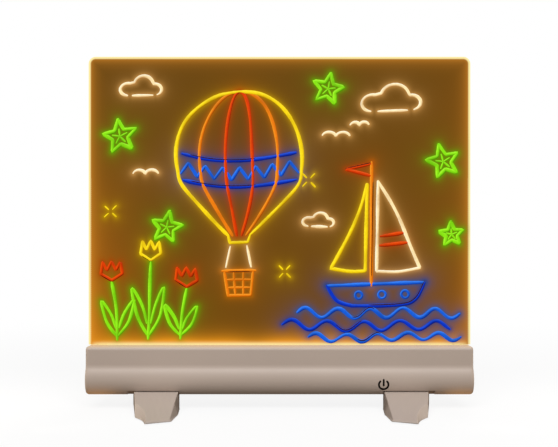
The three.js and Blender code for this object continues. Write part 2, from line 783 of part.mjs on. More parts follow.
// A slab whose underside is flat and whose top falls from the lips to both toes
function footSlab(drop) {
  const { inner, outer } = footSides();
  const low = footUndersides();
  const toeTop = padProud + footToeHeight;
  const middleTop = THREE.MathUtils.lerp(footLipHeight, toeTop, footMiddleShare);
  const tops = [toeTop, middleTop, footLipHeight, footLipHeight, footLipHeight, middleTop, toeTop];
  const stations = tops.length;
  const points = [];
  for (let strip = 0; strip <= footStrips; strip += 1) {
    for (let j = 0; j < stations; j += 1) {
      const above = inner[j].clone().lerp(outer[j], strip / footStrips);
      const below = low.inner[j].clone().lerp(low.outer[j], strip / footStrips);
      points.push(new THREE.Vector3(above.x, above.y, tops[j] - drop));
      points.push(new THREE.Vector3(below.x, below.y, padProud - drop));
    }
  }
  const at = (strip, j, under) => 2 * (strip * stations + j) + under;
  const triangles = [];
  const quad = (a, b, c, d) => triangles.push([a, b, c], [a, c, d]);
  for (let strip = 0; strip < footStrips; strip += 1) {
    for (let j = 0; j + 1 < stations; j += 1) {
      quad(at(strip, j, 0), at(strip + 1, j, 0), at(strip + 1, j + 1, 0), at(strip, j + 1, 0));
      quad(at(strip, j, 1), at(strip, j + 1, 1), at(strip + 1, j + 1, 1), at(strip + 1, j, 1));
    }
    quad(at(strip, 0, 1), at(strip + 1, 0, 1), at(strip + 1, 0, 0), at(strip, 0, 0));
    const rear = stations - 1;
    quad(at(strip, rear, 0), at(strip + 1, rear, 0), at(strip + 1, rear, 1), at(strip, rear, 1));
  }
  for (let j = 0; j + 1 < stations; j += 1) {
    quad(at(0, j, 0), at(0, j + 1, 0), at(0, j + 1, 1), at(0, j, 1));
    quad(at(footStrips, j, 1), at(footStrips, j + 1, 1), at(footStrips, j + 1, 0), at(footStrips, j, 0));
  }
  return solidOf(closedGeometry(points, triangles));
}

// A leaning round cutter that hollows the outer corner of a toe
function scoopCutter(grow, turned) {
  const { inner, outer } = footSides();
  const toe = outer[0];
  const alongToe = inner[0].clone().sub(toe).setLength(scoopAlongToe).add(toe);
  const alongSide = outer[1].clone().sub(toe).setLength(scoopAlongSide).add(toe);
  const middle = alongToe.clone().add(alongSide).multiplyScalar(0.5);
  const chord = alongSide.clone().sub(alongToe);
  const outward = new THREE.Vector2(chord.y, -chord.x).normalize();
  const lean = THREE.MathUtils.degToRad(scoopLeanDegrees);
  const setback = Math.sqrt(scoopRadius ** 2 - (chord.length() / 2) ** 2) / Math.cos(lean);
  const centre = middle.clone().addScaledVector(outward, setback);
  const axis = new THREE.Vector3(
    -outward.x * Math.sin(lean),
    -outward.y * Math.sin(lean),
    Math.cos(lean),
  );
  const length = 4 * scoopRadius;
  const radius = scoopRadius + grow;
  const geometry = new THREE.CylinderGeometry(radius, radius, length, scoopSides);
  geometry.applyQuaternion(new THREE.Quaternion().setFromUnitVectors(new THREE.Vector3(0, 1, 0), axis));
  geometry.translate(centre.x, centre.y, padProud);
  if (turned) {
    geometry.rotateZ(Math.PI);
  }
  return solidOf(geometry);
}

// The hollow under each half of a foot, a wall's thickness inside its outer faces
function footPocket(turned) {
  const { inner, outer } = footSides();
  const top = undersideHeight - saddleClearance - footWall;
  const sideAt = (line, reach) => {
    const next = line.findIndex((point) => point.y > -reach);
    const share = (-reach - line[next].y) / (line[next - 1].y - line[next].y);
    return line[next].clone().lerp(line[next - 1], share).x;
  };
  const outline = [
    new THREE.Vector2(sideAt(inner, pocketEnd) + footWall, -pocketEnd),
    new THREE.Vector2(sideAt(outer, pocketEnd) - footWall, -pocketEnd),
    new THREE.Vector2(sideAt(outer, pocketStart) - footWall, -pocketStart),
    new THREE.Vector2(sideAt(inner, pocketStart) + footWall, -pocketStart),
  ];
  const shape = new THREE.Shape(outline);
  const prism = solidOf(lyingPlate(shape, padProud - cutterOverrun, top, 1));
  const under = footSlab(footWall);
  const pocket = prism.intersect(under).subtract(scoopCutter(footWall, false));
  if (!turned) {
    return pocket;
  }
  return solidOf(geometryOf(pocket).rotateZ(Math.PI));
}

function padShape(grow) {
  return roundedRectangle(padLength + 2 * grow, padWidth + 2 * grow, padCornerRadius);
}

function padRecess(end) {
  const geometry = lyingPlate(padShape(seatGap), padProud - cutterOverrun, padThickness + seatGap, filletSteps);
  return solidOf(geometry.translate(end * padCentreOffset, end * padCentreReach, 0));
}

function pad() {
  return lyingPlate(padShape(0), 0, padThickness, filletSteps);
}

// A chamfered peg that plugs into the socket in the base
function spigot() {
  const low = undersideHeight - saddleClearance - footWall;
  const high = undersideHeight + spigotHeight;
  const levels = [[low, 0], [high - spigotChamfer, 0], [high, spigotChamfer]];
  const outlines = levels.map(([, inset]) => {
    const x = spigotLength / 2 - inset;
    const y = spigotWidth / 2 - inset;
    return [[-x, -y], [x, -y], [x, y], [-x, y]].map(([px, py]) => new THREE.Vector2(px, py));
  });
  return solidOf(loft(outlines, (point, index) => new THREE.Vector3(point.x, point.y, levels[index][0])));
}

function saddle() {
  const outline = baseOutline(-saddleClearance, -saddleClearance, -saddleClearance);
  return solidOf(alongX(outline, -footHalfWidth - cutterOverrun, footHalfWidth + cutterOverrun));
}

// One foot about its own middle, with its outer side towards +X
function footBody() {
  const cuts = joined([
    saddle(),
    scoopCutter(0, false),
    scoopCutter(0, true),
    footPocket(false),
    footPocket(true),
    padRecess(-1),
    padRecess(1),
  ]);
  return geometryOf(footSlab(0).subtract(cuts).add(spigot()));
}

function mirroredInX(geometry) {
  const index = Array.from(geometry.index.array);
  const flipped = geometry.clone().scale(-1, 1, 1);
  for (let i = 0; i < index.length; i += 3) {
    [index[i + 1], index[i + 2]] = [index[i + 2], index[i + 1]];
  }
  flipped.setIndex(index);
  return flipped;
}

const finishes = {
  acrylic: { color: 0x8a5a1c, roughness: 0.08, metalness: 0, emissive: 0xb06a10, emissiveIntensity: 0.35 },
  housing: { color: 0xb5a596, roughness: 0.42, metalness: 0 },
  foot: { color: 0xb8a799, roughness: 0.45, metalness: 0 },
  foam: { color: 0x2b2926, roughness: 0.95, metalness: 0 },
  aluminium: { color: 0xb9bbbd, roughness: 0.4, metalness: 0.9 },
  board: { color: 0x1f5a34, roughness: 0.5, metalness: 0 },
  whiteBoard: { color: 0xe9e7df, roughness: 0.5, metalness: 0 },
  chip: { color: 0x1b1b1d, roughness: 0.5, metalness: 0 },
  connector: { color: 0xe8e2d2, roughness: 0.5, metalness: 0 },
  steel: { color: 0xa9abad, roughness: 0.35, metalness: 0.95 },
  redWire: { color: 0xb02020, roughness: 0.5, metalness: 0 },
  blackWire: { color: 0x161616, roughness: 0.5, metalness: 0 },
  rubber: { color: 0x6b5844, roughness: 0.9, metalness: 0 },
};

function piece(name, geometry, finish) {
  geometry.computeVertexNormals();
  const mesh = new THREE.Mesh(geometry, new THREE.MeshStandardMaterial({ ...finish, flatShading: true }));
  mesh.name = name;
  return mesh;
}

function buildBase() {
  const group = new THREE.Group();
  const shell = wholeShell();
  group.add(
    piece('front_housing', geometryOf(frontHousing(shell)), finishes.housing),
    piece('rear_housing', geometryOf(rearHousing(shell)), finishes.housing),
    piece('front_grip_strip', gripStrip(-1), finishes.foam),
    piece('rear_grip_strip', gripStrip(1), finishes.foam),
  );
  screwPlaces().forEach(([x, z], index) => {
    const mesh = piece(`housing_screw_${index + 1}`, housingScrew(), finishes.steel);
    mesh.position.set(x, screwHeadSeat, z);
    group.add(mesh);
  });
  return group;
}

// Screws that hold the control board to its posts and the inlet board to its shelf
function buildBoardScrews() {
  const group = new THREE.Group();
  const rear = -controlBoardFace + controlBoardThickness + seatGap;
  controlBoardHoles().forEach(([x, z], index) => {
    const mesh = piece(`control_board_screw_${index + 1}`, boardScrew(), finishes.steel);
    mesh.position.set(x, rear, z);
    group.add(mesh);
  });
  inletPosts().forEach(([x, y], index) => {
    const mesh = piece(`usb_board_screw_${index + 1}`, boardScrew(), finishes.steel);
    mesh.rotation.x = Math.PI / 2;
    mesh.position.set(x, y, inletBoardTop + seatGap);
    group.add(mesh);
  });
  return group;
}

function buildElectronics() {
  const group = new THREE.Group();
  group.add(
    piece('light_bar', lightBar(), finishes.aluminium),
    piece('led_strip', ledStrip(), finishes.whiteBoard),
    piece('control_board', controlBoard(), finishes.board),
    piece('touch_chip', boardComponent(touchChipX, lowerChipZ, chipLength, chipHeight), finishes.chip),
    piece('power_chip', boardComponent(powerChipX, upperChipZ, chipLength, chipHeight), finishes.chip),
    piece('power_coil', boardComponent(powerChipX, lowerChipZ, chipWidth, coilHeight), finishes.chip),
    piece('led_connector', standingConnector(ledPlugX, ledPlugZ), finishes.connector),
    piece('power_connector', standingConnector(powerPlugX, powerPlugZ), finishes.connector),
    piece('usb_connector', lyingConnector(inletPlugX, inletPlugY, inletPlugZ), finishes.connector),
    piece('touch_spring', touchSpring(), finishes.steel),
    piece('usb_board', inletBoard(), finishes.board),
    piece('usb_socket', inletSocket(), finishes.steel),
    piece('power_wire_red', powerWire(1), finishes.redWire),
    piece('power_wire_black', powerWire(-1), finishes.blackWire),
    piece('led_wire_red', ledWire(1), finishes.redWire),
    piece('led_wire_black', ledWire(-1), finishes.blackWire),
  );
  return group;
}

// A foot with its two pads, in a group that stands where the foot plugs into the base
function buildFoot(name, geometry, side, x) {
  const group = new THREE.Group();
  group.position.x = x;
  group.add(piece(`${name}_foot`, geometry, finishes.foot));
  const ends = [['front', -1], ['rear', 1]];
  for (const [place, end] of ends) {
    const mesh = piece(`${name}_${place}_pad`, pad(), finishes.rubber);
    mesh.position.set(side * end * padCentreOffset, end * padCentreReach, 0);
    group.add(mesh);
  }
  return group;
}

const board = new THREE.Group();
const rightFoot = footBody();
board.add(piece('acrylic_panel', acrylicPanel(), finishes.acrylic));
board.add(buildBase());
board.add(buildElectronics());
board.add(buildBoardScrews());
board.add(buildFoot('right', rightFoot, 1, rightFootX));
board.add(buildFoot('left', mirroredInX(rightFoot), -1, leftFootX));

export default board;
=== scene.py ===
"""LED message board: an edge-lit sheet with drawn glowing lines, in a moulded base on two feet.

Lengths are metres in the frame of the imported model: +Z up, +X along the board, -Y towards the reader.
"""

import json
import math
import random

import bmesh
import bpy
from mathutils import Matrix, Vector, geometry, kdtree

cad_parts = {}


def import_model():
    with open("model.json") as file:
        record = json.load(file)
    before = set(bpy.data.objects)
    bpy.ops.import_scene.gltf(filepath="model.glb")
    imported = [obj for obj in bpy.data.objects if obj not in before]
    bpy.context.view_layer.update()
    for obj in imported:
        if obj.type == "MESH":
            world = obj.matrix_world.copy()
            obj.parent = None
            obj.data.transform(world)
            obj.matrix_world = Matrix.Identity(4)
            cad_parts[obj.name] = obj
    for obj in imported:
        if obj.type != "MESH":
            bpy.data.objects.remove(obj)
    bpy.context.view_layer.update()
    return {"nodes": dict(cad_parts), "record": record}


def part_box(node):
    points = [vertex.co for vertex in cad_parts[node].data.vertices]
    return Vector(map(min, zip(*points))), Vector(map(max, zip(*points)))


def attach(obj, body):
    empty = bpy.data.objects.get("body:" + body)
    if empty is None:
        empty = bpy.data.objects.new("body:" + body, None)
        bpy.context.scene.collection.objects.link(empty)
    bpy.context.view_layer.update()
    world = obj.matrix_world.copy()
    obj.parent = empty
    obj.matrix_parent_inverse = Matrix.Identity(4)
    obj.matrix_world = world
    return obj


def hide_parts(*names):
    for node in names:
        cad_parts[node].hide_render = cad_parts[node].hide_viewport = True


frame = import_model()

MM = 0.001

# Picture and camera
IMAGE_WIDTH = 558
IMAGE_HEIGHT = 447
FOCAL_PIXELS = 800
HORIZON_ROW = 243
MIDDLE_COLUMN = 279.5
SENSOR = 36
CAMERA_DISTANCE = 840 * MM
CAMERA_HEIGHT = 171.9 * MM

# Sheet
SHEET_CORNER = 7.4 * MM
SHEET_CHAMFER = 0.35 * MM
TONGUE_CORNER = 2 * MM
EDGE_RINGS = [inset * MM for inset in (0.5, 1.1, 1.8, 2.4, 3.2, 4.4, 6, 8.5)]
RING_STEP = 2 * MM
FINE_STEP = 1.5 * MM
COARSE_STEP = 5 * MM
NEAR_INK = 9 * MM
LOW_STEP = 1.2 * MM
WELD_DISTANCE = 1e-7

# Section of the base
BARREL_RADIUS = 22 * MM
BARREL_RISE = 15.1 * MM
NECK_DEPTH = 36 * MM
NECK_FILLET = 4 * MM
CREASE_RADIUS = 12 * MM
CREASE_STEPS = 8
SHELL_WALL = 2.4 * MM
PARTING_GAP = 0.3 * MM
BARREL_STEPS = 44
FILLET_STEPS = 10
STATION_STEP = 4 * MM

# Ends of the base
END_RUN = 3.5 * MM
END_SIDE = 1.5 * MM
END_TOP = 2 * MM
END_BOTTOM = 4 * MM
END_WALL = 3.2 * MM
END_STEPS = 12

# Slot, ledges and sockets inside the base
SLOT_WIDTH = 7 * MM
SLOT_PLAY = 0.5 * MM
CHUTE_WALL = 1.6 * MM
LEDGE_REACH = 3.4 * MM
LEDGE_THICKNESS = 1.8 * MM
SEAT_GAP = 0.2 * MM
SPIGOT_LENGTH = 16 * MM
SPIGOT_WIDTH = 10 * MM
SPIGOT_HEIGHT = 8.4 * MM
SOCKET_PLAY = 0.3 * MM
SOCKET_WALL = 1.8 * MM
GROOVE_REACH = 0.9 * MM
GROOVE_DEPTH = 1.4 * MM
GROOVE_STEPS = 24
OVERRUN = 2 * MM
JOIN, CUT = "UNION", "DIFFERENCE"
ROOT = 0.6 * MM

# Screw recesses and the power inlet in the rear half
RECESS_RADIUS = 3.05 * MM
RECESS_SIDES = 40
HEAD_SEAT = 14.4 * MM
BOSS_RADIUS = 4.6 * MM
PORT_PLAY = 0.3 * MM
PORT_STEPS = 10

# Power symbol on the barrel
SYMBOL_DROP = 4.3 * MM
SYMBOL_SHIFT = -0.5 * MM
SYMBOL_RADIUS = 4.85 * MM
SYMBOL_LINE = 2 * MM
SYMBOL_GAP_DEGREES = 45
SYMBOL_BAR_TOP = 5 * MM
SYMBOL_BAR_LOW = -0.75 * MM
PRINT_THICKNESS = 0.06 * MM

# Feet
FOOT_VOXEL = 0.55 * MM
FOOT_SMOOTHING = 7
FOOT_FACES_SHARE = 0.35
FOOT_LIP_HEIGHT = 19.1 * MM
CRADLE_HALF = 25.6 * MM

# Ink lines on the sheet
WOBBLE = 0.8
INK_HEIGHT = 0.32 * MM
INK_SINK = 0.05 * MM
INK_STEP = 1.6 * MM
STROKE_BLUR = 0.15 * MM
TIP_STEPS = 4
WIDTH_DRIFT = 0.17
WIDTH_JITTER = 0.05
TAPER = 7 * MM
TAPERED_WIDTH = 0.62

# Sections of a line as shares of its half width and height
ROUND_PROFILE = [(-1, 0), (-0.94, 0.4), (-0.78, 0.7), (-0.52, 0.88), (-0.2, 0.98),
                 (0.2, 0.98), (0.52, 0.88), (0.78, 0.7), (0.94, 0.4), (1, 0)]
FLAT_PROFILE = [(-1, 0), (-0.98, 1), (0, 1), (0.98, 1), (1, 0)]

# Patches where a line is wider, and where its ink is thin: size across and up, and starts
WIDTH_PATCHES = (7 * MM, 9 * MM, 2.1, 0)
THIN_PATCHES = (8 * MM, 6.5 * MM, 0.7, -0.4)

# How the ink's tone goes over a line, from its shaded side at -1 to its lit side at 1
INK_LIGHT_SIDE = Vector((-0.6, 0.8))
SHADE_START = 0.12
SHADE_DEPTH = 1.15
SHINE_PLACE = 0.5
SHINE_SPREAD = 0.3
SHINE_DEPTH = 0.9
INK_STREAK = 0.1
INK_THINNING = 0.34

# The lines' light on the sheet, close by and further off, and how the base's light outshines it
NEAR_HALO = 0.72
NEAR_REACH = 2.4 * MM
FAR_HALO = 0.14
FAR_REACH = 10 * MM
OUTSHONE = 0.8
OUTSHONE_REACH = 9 * MM

# The sheet's own light: where its parts begin and how far they reach
SIDE_REACH = 34 * MM
LEFT_GLOW = 0.9
LEFT_GLOW_POWER = 1.5
LEFT_WARMTH_POWER = 3
RIGHT_GLOW = (0.1, 0.2)
RIGHT_WARMTH = 0.15
DOWN_GLOW = 0.05
RIPPLES = [(0.16, 23 * MM, 0), (0.1, 9.3 * MM, 1.2)]
FOOT_FADE_DEPTH = 1.6
FOOT_FADE_REACH = 6.5 * MM
FOOT_LIGHT_REACH = 2.3 * MM
WARM_DEPTH = 0.95
WARM_START = 2.8 * MM
WARM_REACH = 4.8 * MM
RIM_WIDTH = 1.7 * MM
RIM_BLUR = 1.1 * MM
RIM_BOOST = 1.05

# Floor, backdrop and light
FLOOR_HALF = 4.0
BACKDROP_RADIUS = 1.2
BACKDROP_HEIGHT = 3.0
BACKDROP_STEPS = 12
FLOOR_PAPER = (0.9, 0.9, 0.9, 1)
FLOOR_WHITE = 0.86
SHADOW_REACH = 0.3
WHITE_REACH = 1.1
FLOOR_BOUNCE = (0.14, 0.105, 0.07, 1)
WHITE = (1, 1, 1, 1)
WORLD_COLOR = (1.0, 0.985, 0.965, 1)
WORLD_LEVEL = 0.18
FILL_SPREAD = math.radians(55)


def linear(*levels):
    """A colour written as eight-bit sRGB, as the linear values that shaders take."""
    shares = [level / 255 for level in levels]
    return tuple(share / 12.92 if share <= 0.04045 else ((share + 0.055) / 1.055) ** 2.4 for share in shares)


def arc(centre_x, centre_z, radius_x, radius_z, start, end, steps):
    """Points of an ellipse's arc, its angles in degrees."""
    turns = [math.radians(start + (end - start) * i / steps) for i in range(steps + 1)]
    return [(centre_x + radius_x * math.cos(turn), centre_z + radius_z * math.sin(turn)) for turn in turns]


def circle(x, z, radius, start, end, steps):
    return arc(x, z, radius, radius, start, end, steps)


def linked(name, data):
    thing = bpy.data.objects.new(name, data)
    bpy.context.scene.collection.objects.link(thing)
    return thing


def new_object(name, vertices, faces):
    mesh = bpy.data.meshes.new(name)
    mesh.from_pydata([tuple(v) for v in vertices], [], faces)
    mesh.validate()
    return linked(name, mesh)


def outward(thing):
    """Turns every face of a closed mesh to look outwards."""
    work = bmesh.new()
    work.from_mesh(thing.data)
    bmesh.ops.recalc_face_normals(work, faces=work.faces)
    work.to_mesh(thing.data)
    work.free()
    return thing


def smoothed(thing):
    thing.data.polygons.foreach_set("use_smooth", [True] * len(thing.data.polygons))
    return thing


def smooth_by_angle(thing, degrees=30):
    smoothed(thing).data.set_sharp_from_angle(angle=math.radians(degrees))
    return thing


def coated(thing, material):
    thing.data.materials.clear()
    thing.data.materials.append(material)
    return thing


def settled(thing):
    """Applies the modifiers of an object to its mesh."""
    depsgraph = bpy.context.evaluated_depsgraph_get()
    mesh = bpy.data.meshes.new_from_object(thing.evaluated_get(depsgraph))
    thing.modifiers.clear()
    thing.data = mesh
    return thing


def carved(target, *steps):
    """The target with each tool joined to it or cut out of it in turn, and then removed."""
    for operation, tool in steps:
        bpy.context.view_layer.update()
        modifier = target.modifiers.new(operation, "BOOLEAN")
        modifier.operation = operation
        modifier.solver = "EXACT"
        modifier.object = tool
        settled(target)
        bpy.data.objects.remove(tool)
    return target


def merged(things):
    """One object in place of several."""
    vertices, faces = [], []
    for thing in things:
        start = len(vertices)
        vertices.extend(v.co.copy() for v in thing.data.vertices)
        faces.extend([start + i for i in polygon.vertices] for polygon in thing.data.polygons)
        bpy.data.objects.remove(thing)
    return new_object("merged", vertices, faces)


def tube_faces(levels, count):
    """Faces of a closed tube whose vertices come ring by ring."""
    faces = [list(range(count))[::-1]]
    for start in range(0, (levels - 1) * count, count):
        for i in range(count):
            a, b = start + i, start + (i + 1) % count
            faces.append((a, b, b + count, a + count))
    return faces + [list(range((levels - 1) * count, levels * count))]


def loft(name, rings):
    """A closed mesh through rings of equal point count."""
    return outward(new_object(name, [point for ring in rings for point in ring],
                              tube_faces(len(rings), len(rings[0]))))


def bar_along_y(outline, y0, y1):
    return loft("bar", [[(x, y, z) for x, z in outline] for y in (y0, y1)])


def rod_along_y(radius, x, z, y0, y1):
    return bar_along_y(circle(x, z, radius, 0, 360, RECESS_SIDES)[:-1], y0, y1)


# Materials

HOUSING_COLOR = linear(186, 170, 158)
FOOT_COLOR = linear(180, 166, 156)
SPILL_COLOR = linear(120, 98, 62)
SPILL_REACH = 2.4 * MM
MOULDED_ROUGHNESS = 0.42
MOULDED_SPECULAR = 0.3

# Sizes of the noise, in waves to the metre
DRIFT_SCALE = 18
PATCH_SCALE = 55
GRAIN_SCALE = 2600

# Sockets of a colour Mix node, which has several of the same name
MIX_LOW, MIX_HIGH, MIX_RESULT = 6, 7, 2


def plug(node, key, value):
    """Sets a node's input to a value, or links it to a socket or a node's first output."""
    if isinstance(value, bpy.types.Node):
        value = value.outputs[0]
    if isinstance(value, bpy.types.NodeSocket):
        node.id_data.links.new(value, node.inputs[key])
    else:
        node.inputs[key].default_value = value


def wire(node, **inputs):
    """Plugs inputs by name, written with _ for a space."""
    for name, value in inputs.items():
        plug(node, name.replace("_", " "), value)
    return node


def add_node(tree, kind, *first, **inputs):
    """A new node with its first inputs, and those named, plugged."""
    node = tree.nodes.new(f"ShaderNode{kind}")
    for index, value in enumerate(first):
        plug(node, index, value)
    return wire(node, **inputs)


def principled(name, color, roughness, metallic=0.0, specular=0.5):
    material = bpy.data.materials.new(name)
    material.use_nodes = True
    material.diffuse_color = (*color, 1)
    shader = material.node_tree.nodes["Principled BSDF"]
    wire(shader, Base_Color=(*color, 1), Roughness=roughness, Metallic=metallic, Specular_IOR_Level=specular)
    return material, shader


def position(tree):
    return add_node(tree, "TexCoord").outputs["Object"]


def noise(shader, scale, detail=3.0):
    tree = shader.id_data
    return add_node(tree, "TexNoise", Vector=position(tree), Scale=scale, Detail=detail)


def ramp(value, low, high):
    """A grey value stretched between two colours."""
    mix = add_node(value.id_data, "Mix", value)
    mix.data_type = "RGBA"
    plug(mix, MIX_LOW, (*low, 1))
    plug(mix, MIX_HIGH, (*high, 1))
    return mix.outputs[MIX_RESULT]


def toned(color, share):
    return tuple(min(channel * share, 1) for channel in color)


def vary_color(shader, scale, color, low, high):
    wire(shader, Base_Color=ramp(noise(shader, scale), toned(color, low), toned(color, high)))


def vary_roughness(shader, scale, low, high):
    span = add_node(shader.id_data, "MapRange", Value=noise(shader, scale), To_Min=low, To_Max=high)
    wire(shader, Roughness=span)


def bump(shader, scale, detail, distance):
    height = noise(shader, scale, detail)
    wire(shader, Normal=add_node(shader.id_data, "Bump", Height=height, Distance=distance))


def glow_from(shader, attribute):
    """Lets a mesh's own colour attribute light the material."""
    light = add_node(shader.id_data, "Attribute")
    light.attribute_name = attribute
    wire(shader, Emission_Color=light, Emission_Strength=1.0)


def moulded_plastic(name, color, roughness, drift=0.04, specular=0.5):
    """Plastic with a fine moulded grain, slow drifts of tone and patches of roughness."""
    material, shader = principled(name, color, roughness, specular=specular)
    vary_color(shader, DRIFT_SCALE, color, 1 - drift, 1 + drift)
    vary_roughness(shader, PATCH_SCALE, roughness - 0.05, roughness + 0.05)
    bump(shader, GRAIN_SCALE, 2, 0.012 * MM)
    return material


def metal(name, color, roughness):
    """Metal with streaks of roughness and a slight unevenness."""
    material, shader = principled(name, color, roughness, metallic=1.0)
    vary_roughness(shader, 900, roughness - 0.08, roughness + 0.1)
    bump(shader, 1800, 3, 0.01 * MM)
    return material


def soft(name, color, roughness, grain, specular=0.3):
    """A matt material with a mottled tone: foam, rubber or print."""
    material, shader = principled(name, color, roughness, specular=specular)
    vary_color(shader, 700, color, 0.8, 1.2)
    bump(shader, 1500, 4, grain)
    return material


def ink(name, color):
    """A fluorescent line: its own light, over a thin waxy skin."""
    material, shader = principled(name, toned(color, 0.06), 0.4, specular=0.06)
    vary_color(shader, 400, color, 0.04, 0.08)
    glow_from(shader, "light")
    bump(shader, 1400, 2, 0.02 * MM)
    return material


def lit_acrylic():
    """The sheet: its light is computed for each of its points and kept as a colour attribute."""
    material, shader = principled("lit_acrylic", linear(24, 14, 4), 0.14, specular=0.12)
    glow_from(shader, "glow")
    vary_roughness(shader, 40, 0.1, 0.18)
    return material


def housing_plastic():
    """The base's plastic, with the sheet's warm light spilt along its upper lip."""
    material = moulded_plastic("housing_plastic", HOUSING_COLOR, MOULDED_ROUGHNESS, specular=MOULDED_SPECULAR)
    tree = material.node_tree
    height = add_node(tree, "SeparateXYZ", Vector=position(tree)).outputs["Z"]
    spill = add_node(tree, "MapRange", Value=height, From_Min=base_top - SPILL_REACH, From_Max=base_top)
    spill.interpolation_type = "SMOOTHSTEP"
    light = ramp(spill, (0, 0, 0), SPILL_COLOR)
    wire(tree.nodes["Principled BSDF"], Emission_Color=light, Emission_Strength=1.0)
    return material


# Sheet

panel_low, panel_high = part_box("acrylic_panel")
base_low, base_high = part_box("front_housing")
base_low = Vector(map(min, base_low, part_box("rear_housing")[0]))
base_high = Vector(map(max, base_high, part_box("rear_housing")[1]))
shoulder_z = base_high.z + SEAT_GAP
sheet_half, sheet_back, sheet_top = panel_high
tongue_half = 190 * MM


def sheet_outline(inset):
    """The sheet's outline in X and Z, drawn in by inset, counter-clockwise from the lower left."""
    half, tongue = sheet_half - inset, tongue_half - inset
    top, shoulder, low = sheet_top - inset, shoulder_z + inset, panel_low.z + inset
    corner = max(SHEET_CORNER - inset, SEAT_GAP)
    return [(-tongue + TONGUE_CORNER, low), (tongue - TONGUE_CORNER, low), (tongue, low + TONGUE_CORNER),
            (tongue, shoulder), (half, shoulder), *circle(half - corner, top - corner, corner, 0, 90, 8),
            *circle(-half + corner, top - corner, corner, 90, 180, 8),
            (-half, shoulder), (-tongue, shoulder), (-tongue, low + TONGUE_CORNER)]


def between(start, end, share):
    return (start[0] + (end[0] - start[0]) * share, start[1] + (end[1] - start[1]) * share)


def split_evenly(points, step):
    """The closed line through points, with more between them, none further apart than step."""
    result = []
    for point, after in zip(points, points[1:] + points[:1]):
        parts = max(1, math.ceil(math.dist(point, after) / step))
        result += [between(point, after, part / parts) for part in range(parts)]
    return result


def edge_distance(x, z):
    """How far a point of the sheet's face lies inside its sides and top."""
    side = sheet_half - abs(x)
    top = sheet_top - z
    if side < SHEET_CORNER and top < SHEET_CORNER:
        return SHEET_CORNER - math.hypot(SHEET_CORNER - side, SHEET_CORNER - top)
    return min(side, top)


# Ink lines: each motif gives (ink, points, width), in millimetres from the middle of the sheet's lower edge.
# The tables give (across, up) from the motif's own place, as shares of its size where it has one.

BOLD, MEDIUM, THIN, FINE = 3.9, 3.3, 2.5, 1.3
# Ink for the fine dark lines of painted shadow beside some drawn lines, as if cast by the raised ink
SHADOW_INK = "umber"

STAR_WAIST = 0.46
STAR_RAY = (0.06, 0.44)
SPARKLE_RAY = (0.4, 1)
# Arcs: middle, half width, half height, first and last angle, steps
CLOUD_BUMPS = [(0.62, 0.2, 0.3, 0.24, -70, 100, 10), (0.12, 0.42, 0.42, 0.36, 20, 165, 14),
               (-0.55, 0.22, 0.34, 0.26, 75, 260, 12)]
CLOUD_FOOT = [(-0.36, -0.05), (0.5, -0.05)]
BIRD_WINGS = [(-0.5, 0, 0.5, 0.36, 160, 10, 8), (0.5, 0, 0.5, 0.36, 170, 20, 8)]

SEAMS = [(1, "yellow", BOLD), (0.62, "orange", MEDIUM), (0.22, "red", MEDIUM)]
CROWN_RISE = 0.62
MOUTH_DROP = 0.72
MOUTH_WIDTH = 0.17
COLLAR_DROP = 8
COLLAR_SHARE = 0.8
ROPE_TOP = (0.75, 12)
ROPE_FOOT = (13, 34)
BASKET_DROP = 38
BELT_DROP = 0.08
BELT_SAG = 0.07
BELT_HALF = 14
ZIGZAG = 6.5
BELT_PARTS = 14
BAND_WIDTH = 0.96
BASKET = [
    ("orange", [(-17, 0), (17, 0)], BOLD),
    # A painted shadow line under the basket's rim
    (SHADOW_INK, [(-12, -0.6), (14, -0.6)], FINE),
    ("orange", [(-15, 0), (-12, -25), (12, -25), (15, 0)], MEDIUM),
    ("orange", [(-13, -9), (13, -9)], THIN),
    ("orange", [(-12, -17), (12, -17)], THIN),
    ("orange", [(-5, -2), (-4.25, -24)], THIN),
    ("orange", [(5, -2), (4.25, -24)], THIN),
]

BOW = [(-0.62, 0), (-0.5, -0.2), (-0.3, -0.27)]
STERN = [(-0.3, -0.27), (0.32, -0.27), (0.55, -0.2), (0.7, 0.03)]
DECK = [(-0.62, 0), (0.7, 0.03)]
HULL_PORTS = [(-0.2, -0.13), (0.12, -0.13), (0.42, -0.13)]
HULL_PORT_SIZE = 0.05
MAST = [(-0.015, 0), (-0.015, 1.66)]
MAST_SHADE = [(-0.015, 0.1), (-0.015, 1.4)]
MAIN_SAIL = [[(-0.09, 1.36), (-0.26, 0.8), (-0.56, 0.24)], [(-0.56, 0.24), (-0.3, 0.2), (-0.09, 0.2)]]
FORE_SAIL = [[(0.06, 1.4), (0.36, 0.86), (0.64, 0.22)], [(0.64, 0.22), (0.34, 0.17), (0.06, 0.19)]]
SAIL_STRIPES = [[(0.1, 0.66), (0.4, 0.7)], [(0.1, 0.54), (0.46, 0.57)]]
PENNANT = [(-0.03, 1.64), (-0.36, 1.57), (-0.03, 1.48)]

WAVE_PART = 3
TULIP_CUP = [(-9, 19), (-11, 7), (0, 0), (11, 7), (9, 19), (4.5, 11), (0, 20), (-4.5, 11), (-9, 19)]
# A blade's points: millimetres across, share of the flower's height
TULIP_BLADE = [(12, 0.3), (17, 0.64), (7, 0.42), (2, 0.2)]


def placed(points, x, z, size=1):
    """A table's points at the motif's place and size."""
    return [(x + across * size, z + rise * size) for across, rise in points]


def spline(points, steps=7):
    """A smooth open line through points (Catmull-Rom)."""
    padded = [points[0], *points, points[-1]]
    result = []
    for i in range(len(points) - 1):
        before, start, end, after = (Vector(p) for p in padded[i:i + 4])
        for step in range(steps):
            t = step / steps
            result.append(tuple(0.5 * (2 * start + (end - before) * t
                                       + (2 * before - 5 * start + 4 * end - after) * t * t
                                       + (3 * start - before - 3 * end + after) * t ** 3)))
    result.append(tuple(points[-1]))
    return result


def arcs(table, x, z, size):
    """One line through several arcs."""
    line = []
    for across, rise, wide, high, start, end, steps in table:
        line += arc(x + across * size, z + rise * size, wide * size, high * size, start, end, steps)
    return line


